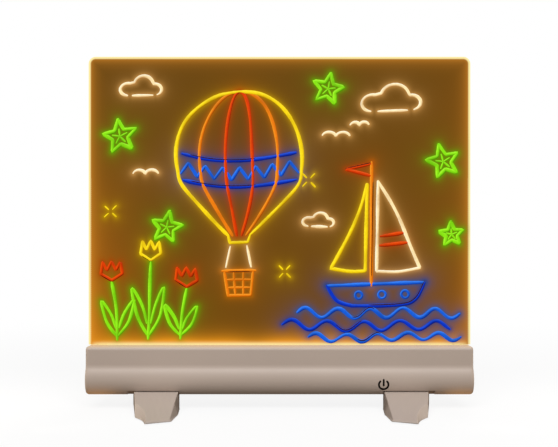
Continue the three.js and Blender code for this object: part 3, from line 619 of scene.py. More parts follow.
def closed_curves(table, x, z, size):
    """One line through several curves and back to its start."""
    curves = [placed(points, x, z, size) for points in table]
    return [point for curve in curves for point in spline(curve)] + curves[0][:1]


def shadow_line(points, across, rise):
    """A fine dark line of painted shadow beside the middle of a drawn one."""
    return (SHADOW_INK, placed(points, across, rise), FINE)


def star(x, z, size, lean=0):
    """A five-pointed star with five short rays in it."""
    def tip(turn, radius):
        return radius * math.cos(math.radians(turn + lean)), radius * math.sin(math.radians(turn + lean))
    points = [tip(90 + 36 * i, size * STAR_WAIST if i % 2 else size) for i in range(11)]
    lines = [("green", placed(points, x, z), BOLD)]
    for i in range(5):
        across, rise = tip(90 + 72 * i, size)
        lines.append(("green", [(x + share * across, z + share * rise) for share in STAR_RAY], THIN))
    return lines


def cloud(x, z, size):
    """Three bumps over a long flat foot."""
    here = x, z, size
    return [("white", arcs(CLOUD_BUMPS, *here), MEDIUM), ("white", placed(CLOUD_FOOT, *here), MEDIUM)]


def bird(x, z, size):
    return [("white", arcs(BIRD_WINGS, x, z, size), MEDIUM)]


def sparkle(x, z, size):
    """Four short strokes round an empty middle."""
    lines = []
    for turn in (45, 135, 225, 315):
        across, rise = math.cos(math.radians(turn)), math.sin(math.radians(turn))
        ray = [(x + share * size * across, z + share * size * rise) for share in SPARKLE_RAY]
        lines.append(("yellow", ray, THIN))
    return lines


def envelope_belt(x, width, height, belt):
    """A zigzag between two sagging bands across the envelope."""
    shares = [-0.93 + 1.86 * i / BELT_PARTS for i in range(BELT_PARTS + 1)]
    sags = [BELT_SAG * height * (1 - share * share) for share in shares]
    zigzag = [(x + width * share, belt - sag + (ZIGZAG if i % 2 else -ZIGZAG))
              for i, (share, sag) in enumerate(zip(shares, sags))]
    lines = [("blue", zigzag, MEDIUM)]
    for offset in (BELT_HALF, -BELT_HALF):
        band = [(x + BAND_WIDTH * width * share, belt + offset - sag) for share, sag in zip(shares, sags)]
        lines += [("deep_blue", band, BOLD), shadow_line(band[1:10], 0, 1.1)]
    return lines


def balloon(x, z, width, height):
    """A hot-air balloon: an envelope with seams, ropes and a woven basket."""
    mouth = z - MOUTH_DROP * height
    half = MOUTH_WIDTH * width
    lines = []
    for share, name, weight in SEAMS:
        for side in (-share, share):
            crown = arc(x, z, side * width, CROWN_RISE * height, 90, -30, 6)
            lines.append((name, spline([*crown, (x + side * half, mouth)]), weight))
    narrow = COLLAR_SHARE * half
    collar = [(-half, 0), (-narrow, -COLLAR_DROP), (narrow, -COLLAR_DROP), (half, 0)]
    lines.append(("yellow", placed(collar, x, mouth), MEDIUM))
    for side in (-1, 1):
        rope = [(side * ROPE_TOP[0] * half, -ROPE_TOP[1]), (side * ROPE_FOOT[0], -ROPE_FOOT[1])]
        lines.append(("white", placed(rope, x, mouth), THIN))
    lines += envelope_belt(x, width, height, z - BELT_DROP * height)
    return lines + [(name, placed(points, x, mouth - BASKET_DROP), weight) for name, points, weight in BASKET]


def boat(x, z, size):
    """A small sailing boat: a hull with three ports, a mast, two sails and a pennant."""
    here = x, z, size
    stern = spline(placed(STERN, *here))
    pennant = placed(PENNANT, *here)
    ports = [circle(*port, HULL_PORT_SIZE * size, 0, 360, 12) for port in placed(HULL_PORTS, *here)]
    return [("deep_blue", spline(placed(BOW, *here)) + stern, BOLD), shadow_line(stern[3:], -0.6, 1),
            ("blue", placed(DECK, *here), BOLD), *[("blue", port, THIN) for port in ports],
            ("orange", placed(MAST, *here), BOLD), shadow_line(placed(MAST_SHADE, *here), 0.3, 0),
            shadow_line(pennant[:2], 0, 0.9), ("yellow", closed_curves(MAIN_SAIL, *here), BOLD),
            ("white", closed_curves(FORE_SAIL, *here), MEDIUM),
            *[("red", placed(stripe, *here), BOLD) for stripe in SAIL_STRIPES], ("red", pennant, MEDIUM)]


def waves(x0, x1, z, height, length, name):
    count = max(4, round((x1 - x0) / WAVE_PART))
    points = []
    for i in range(count + 1):
        x = x0 + (x1 - x0) * i / count
        points.append((x, z + height * math.sin(2 * math.pi * (x - x0) / length)))
    return [(name, points, BOLD), shadow_line(points[count // 3:count // 2], 0, 1.1)]


def tulip(x, z, height, lean, name):
    """A flower on a stem with two blades."""
    stem = [(x, z), (x + 0.25 * lean, z + 0.5 * height), (x + lean, z + height - 2)]
    flower = placed(TULIP_CUP, x + lean, z + height)
    lines = [("green", spline(stem), MEDIUM), (name, flower, MEDIUM), shadow_line(flower[1:3], -0.5, -0.8)]
    for side in (-1, 1):
        blade = [(x + side * across, z + rise * height) for across, rise in TULIP_BLADE]
        lines.append(("green", spline([(x + side, z + 4), *blade]), MEDIUM))
    return lines


MOTIFS = [
    (balloon, -42, 196, 66, 112), (boat, 98, 62, 78),
    (cloud, 116, 246, 34), (cloud, -146, 262, 24), (cloud, 40, 124, 18),
    (bird, 60, 218, 14), (bird, 84, 230, 10), (bird, -140, 178, 13),
    (star, -166, 218, 18, 8), (star, 50, 268, 16, -10), (star, 172, 192, 18, 14),
    (star, -118, 122, 16, -8), (star, 180, 116, 13, 6),
    (sparkle, 30, 172, 9), (sparkle, -178, 140, 8), (sparkle, 6, 76, 8),
    (tulip, -170, 6, 62, -5, "red"), (tulip, -138, 6, 82, 4, "yellow"), (tulip, -104, 6, 54, 7, "red"),
    (waves, 18, 188, 33, 5, 34, "blue"), (waves, 2, 178, 20, 5, 38, "deep_blue"),
    (waves, 30, 190, 8, 4, 32, "blue"),
]


def by_hand(x, z):
    """A drawn point in metres, moved a little so that lines bend as they do when drawn by hand."""
    across = WOBBLE * (math.sin(z / 19) + 0.6 * math.sin(x / 11 + z / 31))
    rise = WOBBLE * (math.sin(x / 21 + 1.3) + 0.6 * math.sin(z / 13 - x / 37))
    return (x + across) * MM, shoulder_z + (z + rise) * MM


def evenly_spaced(points, step):
    """Points at equal steps along an open line."""
    runs = [math.dist(a, b) for a, b in zip(points, points[1:])]
    total = sum(runs)
    parts = max(2, round(total / step))
    result, index, walked = [], 0, 0.0
    for part in range(parts + 1):
        target = total * part / parts
        while index < len(runs) - 1 and walked + runs[index] < target:
            walked += runs[index]
            index += 1
        share = min(max((target - walked) / max(runs[index], 1e-9), 0), 1)
        result.append(between(points[index], points[index + 1], share))
    return result


# Each ink's colour in the middle of a line, on its shaded and its lit side, and its halo on the sheet
MIDDLE, SHADED, LIT, HALO = range(4)
SHADES = {
    "yellow": [(250, 216, 18), (150, 98, 0), (255, 234, 40), (176, 136, 0)],
    "orange": [(234, 122, 12), (130, 52, 0), (250, 160, 40), (176, 98, 0)],
    "red": [(216, 58, 2), (84, 10, 0), (238, 88, 14), (166, 62, 0)],
    "blue": [(20, 90, 214), (4, 22, 104), (62, 138, 250), (48, 80, 132)],
    "deep_blue": [(6, 48, 188), (4, 8, 74), (40, 92, 226), (40, 62, 126)],
    "green": [(134, 224, 18), (58, 124, 0), (166, 250, 44), (96, 152, 0)],
    "white": [(255, 230, 172), (176, 112, 44), (255, 250, 226), (190, 138, 70)],
    # Painted shadow lines: dark, and with no halo
    SHADOW_INK: [(44, 16, 6), (28, 8, 2), (60, 24, 8)],
}
INKS = {name: [linear(*color) for color in colors] for name, colors in SHADES.items()}


def patches(x, z, across, up, start_x, start_z):
    """A value from -1 to 1 that changes slowly over the sheet."""
    return math.sin(x / across + start_x) * math.sin(z / up + start_z)


def ribbon(points, half_width, height, sink, place, profile, drawn=False):
    """Vertices, faces and tones of a round-ended raised line.

    place(x, z, lift) gives a point over the surface that carries the line. A vertex's tone says how
    far it lies towards the lit side, from -1 to 1. A drawn line varies in width and has thin ends.
    """
    count = len(points)
    step = math.dist(points[0], points[1])
    is_open = math.dist(points[0], points[-1]) > 2 * half_width
    sections = []
    for i, point in enumerate(points):
        before, after = points[max(i - 1, 0)], points[min(i + 1, count - 1)]
        run = Vector((after[0] - before[0], after[1] - before[1])).normalized()
        jitter = WIDTH_JITTER * random.uniform(-1, 1)
        wide = 1 + WIDTH_DRIFT * patches(*point, *WIDTH_PATCHES) + jitter if drawn else 1
        to_end = min(i, count - 1 - i) * step
        if drawn and is_open and to_end < TAPER:
            wide *= TAPERED_WIDTH + (1 - TAPERED_WIDTH) * math.sin(math.pi / 2 * to_end / TAPER)
        sections.append((Vector(point), run, wide))

    def tip(point, run, wide, way):
        turns = [math.pi / 2 * i / (TIP_STEPS + 0.25) for i in range(1, TIP_STEPS + 1)]
        return [(point + run * half_width * wide * math.sin(turn) * way, run, wide * math.cos(turn))
                for turn in turns]

    sections = tip(*sections[0], -1)[::-1] + sections + tip(*sections[-1], 1)
    vertices, tones = [], []
    for point, run, share in sections:
        across = Vector((run.y, -run.x))
        for side, rise in profile:
            spot = point + across * side * half_width * share
            lift = rise * height * min(share, 1) ** 0.5 - (0 if rise else sink)
            vertices.append(place(spot.x, spot.y, lift))
            tones.append(side * across.dot(INK_LIGHT_SIDE))
    return vertices, tube_faces(len(sections), len(profile)), tones


def ribbons(name, lines, *shape):
    """One piece of several lines, each (points, width), with their tones at each vertex."""
    vertices, faces, tones = [], [], []
    for points, width in lines:
        more_vertices, more_faces, more_tones = ribbon(points, width / 2, *shape)
        start = len(vertices)
        vertices += more_vertices
        tones += more_tones
        faces += [[start + i for i in face] for face in more_faces]
    piece = outward(new_object(name, vertices, faces))
    return smooth_by_angle(piece, 50), tones


def ink_tone(name, lean, x, z):
    """The ink's colour from the shaded side, at -1, to the lit side, at 1, darker where it is thin."""
    shade = SHADE_DEPTH * max(-lean - SHADE_START, 0) / (1 - SHADE_START)
    shine = SHINE_DEPTH * math.exp(-((lean - SHINE_PLACE) / SHINE_SPREAD) ** 2)
    color = blended(INKS[name][MIDDLE], INKS[name][SHADED], shade)
    color = blended(color, INKS[name][LIT], shine)
    return blended(color, INKS[name][SHADED], INK_THINNING * max(patches(x, z, *THIN_PATCHES), 0))


def paint(piece, name, colors):
    """Keeps a colour for each vertex in an attribute of that name."""
    attribute = piece.data.attributes.new(name, "FLOAT_COLOR", "POINT")
    for entry, color in zip(attribute.data, colors):
        entry.color = (*color, 1)


def ink_pieces(lines_by_ink):
    """The drawn lines, one piece for each ink, lying on the sheet's front face."""
    def on_sheet(x, z, lift):
        return x, -sheet_back - lift, z

    for order, (name, lines) in enumerate(sorted(lines_by_ink.items())):
        height = INK_HEIGHT * (1 + 0.1 * order)
        piece, tones = ribbons(f"drawn_lines_{name}", lines, height, INK_SINK, on_sheet, ROUND_PROFILE, True)
        paint(piece, "light", [
            ink_tone(name, tone, vertex.co.x, vertex.co.z) * (1 + INK_STREAK * random.uniform(-1, 1))
            for vertex, tone in zip(piece.data.vertices, tones)
        ])
        coated(piece, ink(f"ink_{name}", INKS[name][MIDDLE]))
        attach(piece, "sheet")


# Light of the sheet

BROWN = linear(102, 67, 13)
AMBER = linear(196, 112, 18)
EDGE_LIGHT = linear(255, 238, 166)
EDGE_FADE = linear(176, 112, 32)
EDGE_WARMTH = linear(228, 144, 36)
FOOT_LIGHT = linear(255, 232, 158)
FOOT_FADE = linear(232, 148, 28)


def blended(low, high, share):
    share = min(max(share, 0), 1)
    return Vector(low).lerp(Vector(high), share)


def plain_glow(x, z):
    """The sheet's own light: a dim middle, warm sides, the left one more so, a bright rim and foot."""
    is_left = x < 0
    side = sheet_half - abs(x)
    rise = max(z - shoulder_z, 0)
    inside = edge_distance(x, z)
    down = min(max((sheet_top - z) / (sheet_top - shoulder_z), 0), 1)
    lean = LEFT_GLOW * down ** LEFT_GLOW_POWER if is_left else RIGHT_GLOW[0] + RIGHT_GLOW[1] * down
    color = blended(BROWN, AMBER, lean * math.exp(-side / SIDE_REACH) + DOWN_GLOW * down)
    ripple = 1 + sum(depth * math.sin(x / length + start) for depth, length, start in RIPPLES)
    color = blended(color, FOOT_FADE, FOOT_FADE_DEPTH * ripple * math.exp(-rise / FOOT_FADE_REACH))
    color = blended(color, FOOT_LIGHT, math.exp(-(rise / FOOT_LIGHT_REACH) ** 2))
    warm = blended(EDGE_FADE, EDGE_WARMTH, down ** LEFT_WARMTH_POWER if is_left else RIGHT_WARMTH * down)
    color = blended(color, warm, WARM_DEPTH * math.exp(-max(inside - WARM_START, 0) / WARM_REACH))
    return blended(color, EDGE_LIGHT, 1 - (inside - RIM_WIDTH) / RIM_BLUR)


def with_halos(color, x, z, trees, through):
    """The sheet's colour with the light of the lines on it, and from behind the lines themselves.

    Near the base, the light from the LED strip outshines the lines.
    """
    seen = 1 - OUTSHONE * math.exp(-max(z - shoulder_z, 0) / OUTSHONE_REACH)
    for name, (tree, widths) in trees.items():
        _, index, distance = tree.find((x, 0, z))
        half_width = widths[index] / 2
        if through and distance < half_width:
            return Vector(INKS[name][MIDDLE])
        # The painted shadow lines give the sheet no light
        if name == SHADOW_INK:
            continue
        beyond = max(distance - half_width, 0)
        near = NEAR_HALO * math.exp(-beyond / NEAR_REACH)
        far = FAR_HALO * math.exp(-beyond / FAR_REACH)
        color = color.lerp(Vector(INKS[name][HALO]), seen * (near + far))
    return color


# Mesh of the sheet

def stroke_edges(lines_by_ink):
    """Points just inside and outside the edges of each line, so that it is crisp from behind."""
    points = []
    for line, width in (entry for lines in lines_by_ink.values() for entry in lines):
        reaches = (width / 2 - STROKE_BLUR, width / 2 + STROKE_BLUR)
        for i, point in enumerate(line):
            before, after = line[max(i - 1, 0)], line[min(i + 1, len(line) - 1)]
            heading = math.atan2(after[1] - before[1], after[0] - before[0])
            turns = [90, -90]
            if i == 0:
                turns += [120, 150, 180, 210, 240]
            if i == len(line) - 1:
                turns += [60, 30, 0, -30, -60]
            for angle in (heading + math.radians(turn) for turn in turns):
                away = Vector((math.cos(angle), math.sin(angle)))
                points += [Vector(point) + reach * away for reach in reaches]
    return points


def point_tree(spots):
    tree = kdtree.KDTree(len(spots))
    for index, (x, z) in enumerate(spots):
        tree.insert((x, 0, z), index)
    tree.balance()
    return tree


def face_points(rim, nearest):
    """Points over the sheet's face: the rim, rings along it, and a grid that is finer near the lines."""
    points = [*rim]
    for inset in EDGE_RINGS:
        points += split_evenly(sheet_outline(SHEET_CHAMFER + inset), RING_STEP)
    inner = SHEET_CHAMFER + EDGE_RINGS[-1] + 0.5 * FINE_STEP
    columns = int(2 * (sheet_half - inner) / FINE_STEP)
    rows = int((sheet_top - inner - shoulder_z) / FINE_STEP)
    stride = round(COARSE_STEP / FINE_STEP)
    for column in range(columns + 1):
        x = -sheet_half + inner + column * FINE_STEP
        for row in range(rows + 1):
            z = sheet_top - inner - row * FINE_STEP
            on_coarse = column % stride == 0 and row % stride == 0
            if z >= shoulder_z + inner and (on_coarse or nearest.find((x, 0, z))[2] < NEAR_INK):
                points.append((x, z))
    for row in range(1, int(inner / LOW_STEP) + 1):
        for column in range(int((tongue_half - inner) / LOW_STEP) + 1):
            points.append((-tongue_half + inner + 2 * LOW_STEP * column, shoulder_z + row * LOW_STEP))
    return [Vector(point) for point in points]


def bevel_rims(sheet):
    """Closes the front and back faces to a solid with a small bevel all round."""
    work = bmesh.new()
    work.from_mesh(sheet.data)
    work.verts.ensure_lookup_table()
    rims = [e for e in work.edges if e.is_boundary]
    grown = {}
    for side in (-1, 1):
        edges = [e for e in rims if e.verts[0].co.y * side > 0]
        made = bmesh.ops.extrude_edge_only(work, edges=edges)["geom"]
        grown.update((item, side) for item in made if isinstance(item, bmesh.types.BMVert))
    for vertex, side in grown.items():
        x, z = vertex.co.x, vertex.co.z
        away = Vector((0, 0))
        for edge in vertex.link_edges:
            other = edge.other_vert(vertex)
            if other in grown:
                run = Vector((other.co.x - x, other.co.z - z)).normalized()
                across = Vector((run.y, -run.x))
                away += across if is_outside(x + across.x * MM, z + across.y * MM) else -across
        away = away.normalized() * SHEET_CHAMFER
        vertex.co = Vector((x + away.x, side * (sheet_back - SHEET_CHAMFER), z + away.y))
    bmesh.ops.bridge_loops(work, edges=[e for e in work.edges if e.is_boundary])
    bmesh.ops.recalc_face_normals(work, faces=work.faces)
    work.to_mesh(sheet.data)
    work.free()


def sheet_piece(lines_by_ink):
    """The sheet as a mesh fine enough to carry the light of its rim and of each line."""
    trees = {}
    every = []
    for name, lines in lines_by_ink.items():
        spots = [spot for line, _ in lines for spot in line]
        trees[name] = (point_tree(spots), [width for line, width in lines for _ in line])
        every += spots

    rim = split_evenly(sheet_outline(SHEET_CHAMFER), RING_STEP)
    rim_edges = [(i, (i + 1) % len(rim)) for i in range(len(rim))]
    points = face_points(rim, point_tree(every))
    vertices, glows, faces = [], [], []
    for side, spots in ((-1, points), (1, points + stroke_edges(lines_by_ink))):
        flat, _, triangles, _, _, _ = geometry.delaunay_2d_cdt(spots, rim_edges, [], 1, WELD_DISTANCE)
        start = len(vertices)
        for point in flat:
            vertices.append((point.x, side * sheet_back, point.y))
            glows.append(with_halos(plain_glow(point.x, point.y), point.x, point.y, trees, side > 0))
        faces += [[start + i for i in (t if side < 0 else reversed(t))] for t in triangles]
    sheet = new_object("sheet_body", vertices, faces)
    bevel_rims(sheet)
    rim_glow = Vector(EDGE_LIGHT) * RIM_BOOST
    paint(sheet, "glow", glows + [rim_glow] * (len(sheet.data.vertices) - len(glows)))
    coated(smooth_by_angle(sheet, 25), lit_acrylic())
    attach(sheet, "sheet")
    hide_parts("acrylic_panel")


def is_outside(x, z):
    if z < shoulder_z:
        return abs(x) > tongue_half or z < panel_low.z
    return abs(x) > sheet_half or z > sheet_top or edge_distance(x, z) < 0


# Base

axis_z = base_low.z + BARREL_RISE
base_half, _, base_top = base_high
cavity_half = base_half - END_WALL
neck_inside = NECK_DEPTH / 2 - SHELL_WALL


def half_outline(side, top, bottom, cut):
    """Half of the base's section, drawn in, from the parting plane at the underside to the top."""
    radius = BARREL_RADIUS - side
    neck = min(NECK_DEPTH / 2 - side, radius)
    fillet = max(NECK_FILLET - top, SEAT_GAP)
    high = base_top - top
    crease = CREASE_RADIUS + side
    start = -math.asin(min((BARREL_RISE - bottom) / radius, 1))
    end = math.acos((neck + crease) / (radius + crease))
    crease_z = axis_z + (radius + crease) * math.sin(end)
    start, end = math.degrees(start), math.degrees(end)
    return [(cut, base_low.z + bottom), *circle(0, axis_z, radius, start, end, BARREL_STEPS),
            *circle(neck + crease, crease_z, -crease, end, 0, CREASE_STEPS)[1:],
            *circle(neck - fillet, high - fillet, fillet, 0, 90, FILLET_STEPS), (cut, high)]


def stations():
    """Places along X with how far each is drawn in, closer together at the rounded ends."""
    straight = base_half - END_RUN
    parts = round(2 * straight / STATION_STEP)
    end = arc(straight, 1, END_RUN, 1, -90, 0, END_STEPS)
    middle = [(-straight + 2 * straight * i / parts, 0) for i in range(1, parts)]
    return [(-x, share) for x, share in reversed(end)] + middle + end


def section(side, x, outline):
    """An outline of depths and heights, on one side of the parting plane."""
    return [(x, side * y, z) for y, z in outline]


def half_body(side):
    return loft("half_body", [
        section(side, x, half_outline(END_SIDE * share, END_TOP * share, END_BOTTOM * share, PARTING_GAP / 2))
        for x, share in stations()
    ])


def prism(side, x0, x1, outline):
    return loft("prism", [section(side, x, outline) for x in (x0, x1)])


def side_block(side, x0, x1, y0, y1, z0, z1):
    """A block given by its depths on one side of the parting plane."""
    depths = sorted((side * y0, side * y1))
    corners = [(x, y, z) for x in (x0, x1) for y in depths for z in (z0, z1)]
    faces = [(0, 1, 3, 2), (4, 6, 7, 5), (0, 4, 5, 1), (2, 3, 7, 6), (0, 2, 6, 4), (1, 5, 7, 3)]
    return outward(new_object("block", corners, faces))


def half_shell(side):
    """One half of the base: outer skin, cavity, light chute, ledge, foot sockets and slot."""
    cut = PARTING_GAP / 2
    cavity = half_outline(SHELL_WALL, SHELL_WALL, SHELL_WALL, -OVERRUN)
    cavity = prism(side, -cavity_half, cavity_half, cavity)
    slot_half = tongue_half + SLOT_PLAY
    chute_low = box_middle("led_strip")[2]
    ledge_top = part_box("light_bar")[0].z - SEAT_GAP
    chute = side_block(side, -slot_half - CHUTE_WALL, slot_half + CHUTE_WALL, cut,
                       SLOT_WIDTH / 2 + CHUTE_WALL, chute_low, base_top - SHELL_WALL + ROOT)
    ledge = side_block(side, -cavity_half - ROOT, cavity_half + ROOT, neck_inside - LEDGE_REACH,
                       neck_inside + ROOT, ledge_top - LEDGE_THICKNESS, ledge_top)
    slot = side_block(side, -slot_half, slot_half, -OVERRUN, SLOT_WIDTH / 2,
                      chute_low - OVERRUN, base_top + OVERRUN)
    long = SPIGOT_LENGTH / 2 + SOCKET_PLAY
    wide = SPIGOT_WIDTH / 2 + SOCKET_PLAY
    top = base_low.z + SPIGOT_HEIGHT + SOCKET_PLAY
    sockets, holes, grooves = [], [], []
    for x in map(foot_middle, ("left", "right")):
        sockets.append(side_block(side, x - long - SOCKET_WALL, x + long + SOCKET_WALL, cut,
                                  wide + SOCKET_WALL, base_low.z + ROOT, top + SOCKET_WALL))
        holes.append(side_block(side, x - long, x + long, -OVERRUN, wide, base_low.z - OVERRUN, top))
        grooves.append(foot_groove(side, x))
    return carved(half_body(side), (CUT, cavity), (JOIN, chute), (JOIN, ledge),
                  (JOIN, merged(sockets)), (CUT, merged(holes)), (CUT, merged(grooves)), (CUT, slot))


def box_middle(name):
    return [(low + high) / 2 for low, high in zip(*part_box(name))]


def foot_middle(foot):
    """The middle of a foot along X, halfway between its pads."""
    return (box_middle(f"{foot}_front_pad")[0] + box_middle(f"{foot}_rear_pad")[0]) / 2


def foot_groove(side, x):
    """The shallow recess that a foot's cradle sits in, a crescent carried along X."""
    inner, outer = BARREL_RADIUS - GROOVE_DEPTH, BARREL_RADIUS + OVERRUN
    reach = CRADLE_HALF + GROOVE_REACH
    high = math.degrees(math.asin((FOOT_LIP_HEIGHT + GROOVE_REACH - axis_z) / BARREL_RADIUS))
    low = -math.degrees(math.asin(min((BARREL_RISE + OVERRUN) / inner, 1)))
    outline = circle(0, axis_z, inner, low, high, GROOVE_STEPS)
    outline += circle(0, axis_z, outer, high, low, GROOVE_STEPS)
    return prism(side, x - reach, x + reach, outline)


def port_cutter():
    low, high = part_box("usb_socket")
    x, _, z = box_middle("usb_socket")
    radius = (high.z - low.z) / 2 + PORT_PLAY
    reach = (high.x - low.x) / 2 + PORT_PLAY - radius
    outline = circle(x + reach, z, radius, -90, 90, PORT_STEPS)
    outline += circle(x - reach, z, radius, 90, 270, PORT_STEPS)
    return bar_along_y(outline, low.y, BARREL_RADIUS + OVERRUN)


def finish_shell(name, shell, node, material):
    shell.name = shell.data.name = name
    coated(smooth_by_angle(shell, 32), material)
    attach(shell, "base")
    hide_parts(node)


def base_pieces():
    material = housing_plastic()
    finish_shell("front_shell", half_shell(-1), "front_housing", material)
    bosses, recesses = [], []
    for screw in sorted(name for name in frame["nodes"] if name.startswith("housing_screw_")):
        x, _, z = box_middle(screw)
        skin = math.sqrt(BARREL_RADIUS ** 2 - (z - axis_z) ** 2)
        bosses.append(rod_along_y(BOSS_RADIUS, x, z, PARTING_GAP / 2, skin - SHELL_WALL / 2))
        recesses.append(rod_along_y(RECESS_RADIUS, x, z, HEAD_SEAT, BARREL_RADIUS + OVERRUN))
    rear = carved(half_shell(1), (JOIN, merged(bosses)), (CUT, merged(recesses)), (CUT, port_cutter()))
    finish_shell("rear_shell", rear, "rear_housing", material)


def power_symbol():
    """A broken ring and a bar, printed on the barrel's front."""
    middle_x = box_middle("touch_spring")[0] + SYMBOL_SHIFT
    middle_z = axis_z - SYMBOL_DROP
    ring = circle(middle_x, middle_z, SYMBOL_RADIUS, 90 + SYMBOL_GAP_DEGREES, 450 - SYMBOL_GAP_DEGREES, 48)
    bar = [(middle_x, middle_z + SYMBOL_BAR_TOP), (middle_x, middle_z + SYMBOL_BAR_LOW)]

    def on_barrel(x, z, lift):
        return x, -math.sqrt((BARREL_RADIUS + lift) ** 2 - (z - axis_z) ** 2), z

    lines = [(ring, SYMBOL_LINE), (evenly_spaced(bar, MM), SYMBOL_LINE)]
    piece, _ = ribbons("power_symbol", lines, PRINT_THICKNESS, PRINT_THICKNESS, on_barrel, FLAT_PROFILE)
    coated(piece, soft("symbol_print", linear(8, 4, 3), 0.7, 0.004 * MM, specular=0.06))
    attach(piece, "base")


# Feet

def foot_piece(side, material):
    """A foot with soft moulded edges, from the CAD foot's own form."""
    foot = linked(f"{side}_foot_moulding", frame["nodes"][f"{side}_foot"].data.copy())
    remesh = foot.modifiers.new("Remesh", "REMESH")
    remesh.mode = "VOXEL"
    remesh.voxel_size = FOOT_VOXEL
    smooth = foot.modifiers.new("Smooth", "SMOOTH")
    smooth.factor = 0.5
    smooth.iterations = FOOT_SMOOTHING
    foot.modifiers.new("Fewer", "DECIMATE").ratio = FOOT_FACES_SHARE
    settled(foot)
    for vertex in foot.data.vertices:
        if abs(vertex.co.y) > SPIGOT_WIDTH:
            vertex.co.z = min(vertex.co.z, FOOT_LIP_HEIGHT)
    coated(smoothed(foot), material)
    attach(foot, f"{side}_foot_unit")
    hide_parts(f"{side}_foot")


def dress_cad_nodes():
    """Better materials for the CAD pieces that stay."""
    looks = {
        "foam": soft("foam_strip", linear(44, 42, 40), 0.95, 0.12 * MM),
        "light_bar": metal("extruded_aluminium", (0.72, 0.73, 0.74), 0.42),
        "led_board": moulded_plastic("white_solder_mask", linear(238, 236, 228), 0.4, drift=0.02),
        "circuit_board": moulded_plastic("green_solder_mask", linear(28, 92, 50), 0.35, drift=0.1),
        "chip": moulded_plastic("chip_epoxy", linear(28, 28, 30), 0.55, drift=0.1),
        "connector": moulded_plastic("nylon_connector", linear(236, 228, 210), 0.5),
        "steel": metal("plated_steel", (0.66, 0.67, 0.68), 0.3),
        "red_wire": moulded_plastic("red_insulation", linear(180, 30, 28), 0.4),
        "black_wire": moulded_plastic("black_insulation", linear(24, 24, 24), 0.4),
        "rubber": soft("foot_rubber", linear(112, 92, 74), 0.85, 0.05 * MM),
    }
    slots = {entry["node"]: entry["material_slot"] for entry in frame["record"]["subparts"]}
    for name, node in frame["nodes"].items():
        if slots[name] in looks and not node.hide_render:
            smooth_by_angle(coated(node, looks[slots[name]]))


# Floor, light and camera

def seen_and_lit(tree, seen, lit, output):
    """Shows one shader to the camera and through glass, and lights with another."""
    path = add_node(tree, "LightPath").outputs
    either = add_node(tree, "Math", path["Is Camera Ray"], path["Is Transmission Ray"])
    either.operation = "MAXIMUM"
    add_node(tree, output, Surface=add_node(tree, "MixShader", either, lit, seen))


def emptied(owner):
    """A material's or world's node tree, with nothing in it yet."""
    owner.use_nodes = True
    owner.node_tree.nodes.clear()
    return owner.node_tree


def floor_material():
    """Paper that keeps the object's shadow, and fades to plain white away from it."""
    material = bpy.data.materials.new("pale_floor")
    tree = emptied(material)
    paper = add_node(tree, "BsdfDiffuse", Color=FLOOR_PAPER)
    white = add_node(tree, "Emission", Color=WHITE)
    distance = add_node(tree, "VectorMath", position(tree))
    distance.operation = "LENGTH"
    fade = add_node(tree, "MapRange", Value=distance.outputs["Value"], From_Min=SHADOW_REACH,
                    From_Max=WHITE_REACH, To_Min=FLOOR_WHITE)
    fade.interpolation_type = "SMOOTHSTEP"
    bounce = add_node(tree, "BsdfDiffuse", Color=FLOOR_BOUNCE)
    seen_and_lit(tree, add_node(tree, "MixShader", fade, paper, white), bounce, "OutputMaterial")
    return material


def floor():
    """A pale floor that curves up into a backdrop far behind the object."""
    bend = circle(FLOOR_HALF - BACKDROP_RADIUS, BACKDROP_RADIUS, BACKDROP_RADIUS, -90, 0, BACKDROP_STEPS)
    profile = [(-FLOOR_HALF, 0), *bend, (FLOOR_HALF, BACKDROP_HEIGHT)]
    vertices = [(x, y, z) for x in (-FLOOR_HALF, FLOOR_HALF) for y, z in profile]
    count = len(profile)
    stage = new_object("floor", vertices, [(i, i + 1, count + i + 1, count + i) for i in range(count - 1)])
    coated(smoothed(stage), floor_material())


def world():
    sky = bpy.data.worlds.new("studio")
    bpy.context.scene.world = sky
    tree = emptied(sky)
    white = add_node(tree, "Background", Color=WHITE)
    dim = add_node(tree, "Background", Color=WORLD_COLOR, Strength=WORLD_LEVEL)
    seen_and_lit(tree, white, dim, "OutputWorld")


def lamp(name, place, target, size, power, color=(1, 1, 1)):
    data = bpy.data.lights.new(name, "AREA")
    data.shape = "RECTANGLE"
    data.size, data.size_y = size
    data.energy = power
    data.color = color
    thing = linked(name, data)
    thing.location = place
    thing.rotation_mode = "QUATERNION"
    thing.rotation_quaternion = (Vector(target) - Vector(place)).to_track_quat("-Z", "Y")
    return thing


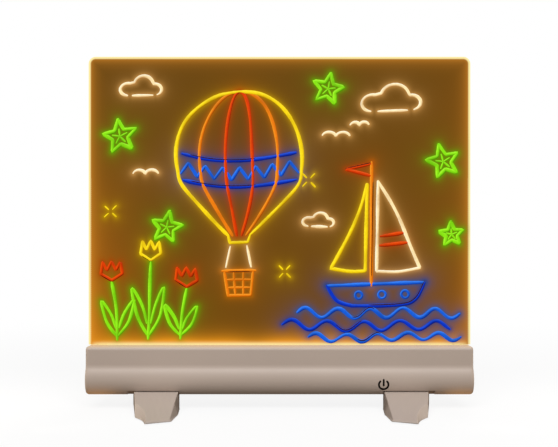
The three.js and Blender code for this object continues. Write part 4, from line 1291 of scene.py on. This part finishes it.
def lamps():
    """Two large softboxes, and three small lamps for each end of the base."""
    lamp("front_softbox", (0, -1.3, 1.45), (0, 0, 0.05), (1.8, 0.9), 37)
    lamp("rear_softbox", (0.5, 1.5, 1.2), (0, 0, 0.1), (1.4, 0.9), 12)
    for name, side, power in (("left", -1, 0.22), ("right", 1, 0.16)):
        warm = lamp(f"warm_{name}", (side * 0.188, -0.022, 0.002), (side * 0.188, -0.012, 0.03),
                    (0.03, 0.014), 0.002, (1, 0.52, 0.14))
        warm.visible_camera = False
        lamp(f"side_{name}", (side * 0.42, -0.02, 0.06), (side * 0.16, -0.02, 0.03), (0.1, 0.1), power,
             (1, 0.84, 0.62))
        fill = lamp(f"side_fill_{name}", (side * 0.235, -0.11, 0.012), (side * 0.15, -0.08, 0.014),
                    (0.03, 0.02), 0.0026, (1, 0.93, 0.84))
        fill.data.spread = FILL_SPREAD
        fill.visible_camera = False


def camera():
    data = bpy.data.cameras.new("camera")
    data.sensor_width = SENSOR
    data.lens = SENSOR * FOCAL_PIXELS / IMAGE_WIDTH
    data.shift_x = (IMAGE_WIDTH / 2 - MIDDLE_COLUMN) / IMAGE_WIDTH
    data.shift_y = (HORIZON_ROW - IMAGE_HEIGHT / 2) / IMAGE_WIDTH
    thing = linked("camera", data)
    thing.location = (0, -CAMERA_DISTANCE, CAMERA_HEIGHT)
    thing.rotation_euler = (math.pi / 2, 0, 0)
    bpy.context.scene.camera = thing


def build():
    random.seed(7)
    camera()
    lines_by_ink = {}
    for motif, *measures in MOTIFS:
        for name, points, width in motif(*measures):
            line = evenly_spaced([by_hand(*point) for point in points], INK_STEP)
            lines_by_ink.setdefault(name, []).append((line, width * MM))
    sheet_piece(lines_by_ink)
    ink_pieces(lines_by_ink)
    base_pieces()
    power_symbol()
    foot_material = moulded_plastic("foot_plastic", FOOT_COLOR, MOULDED_ROUGHNESS, specular=MOULDED_SPECULAR)
    for side in ("left", "right"):
        foot_piece(side, foot_material)
    dress_cad_nodes()
    floor()
    world()
    lamps()
    bpy.context.scene.view_settings.view_transform = "Standard"


build()

bpy.context.view_layer.update()
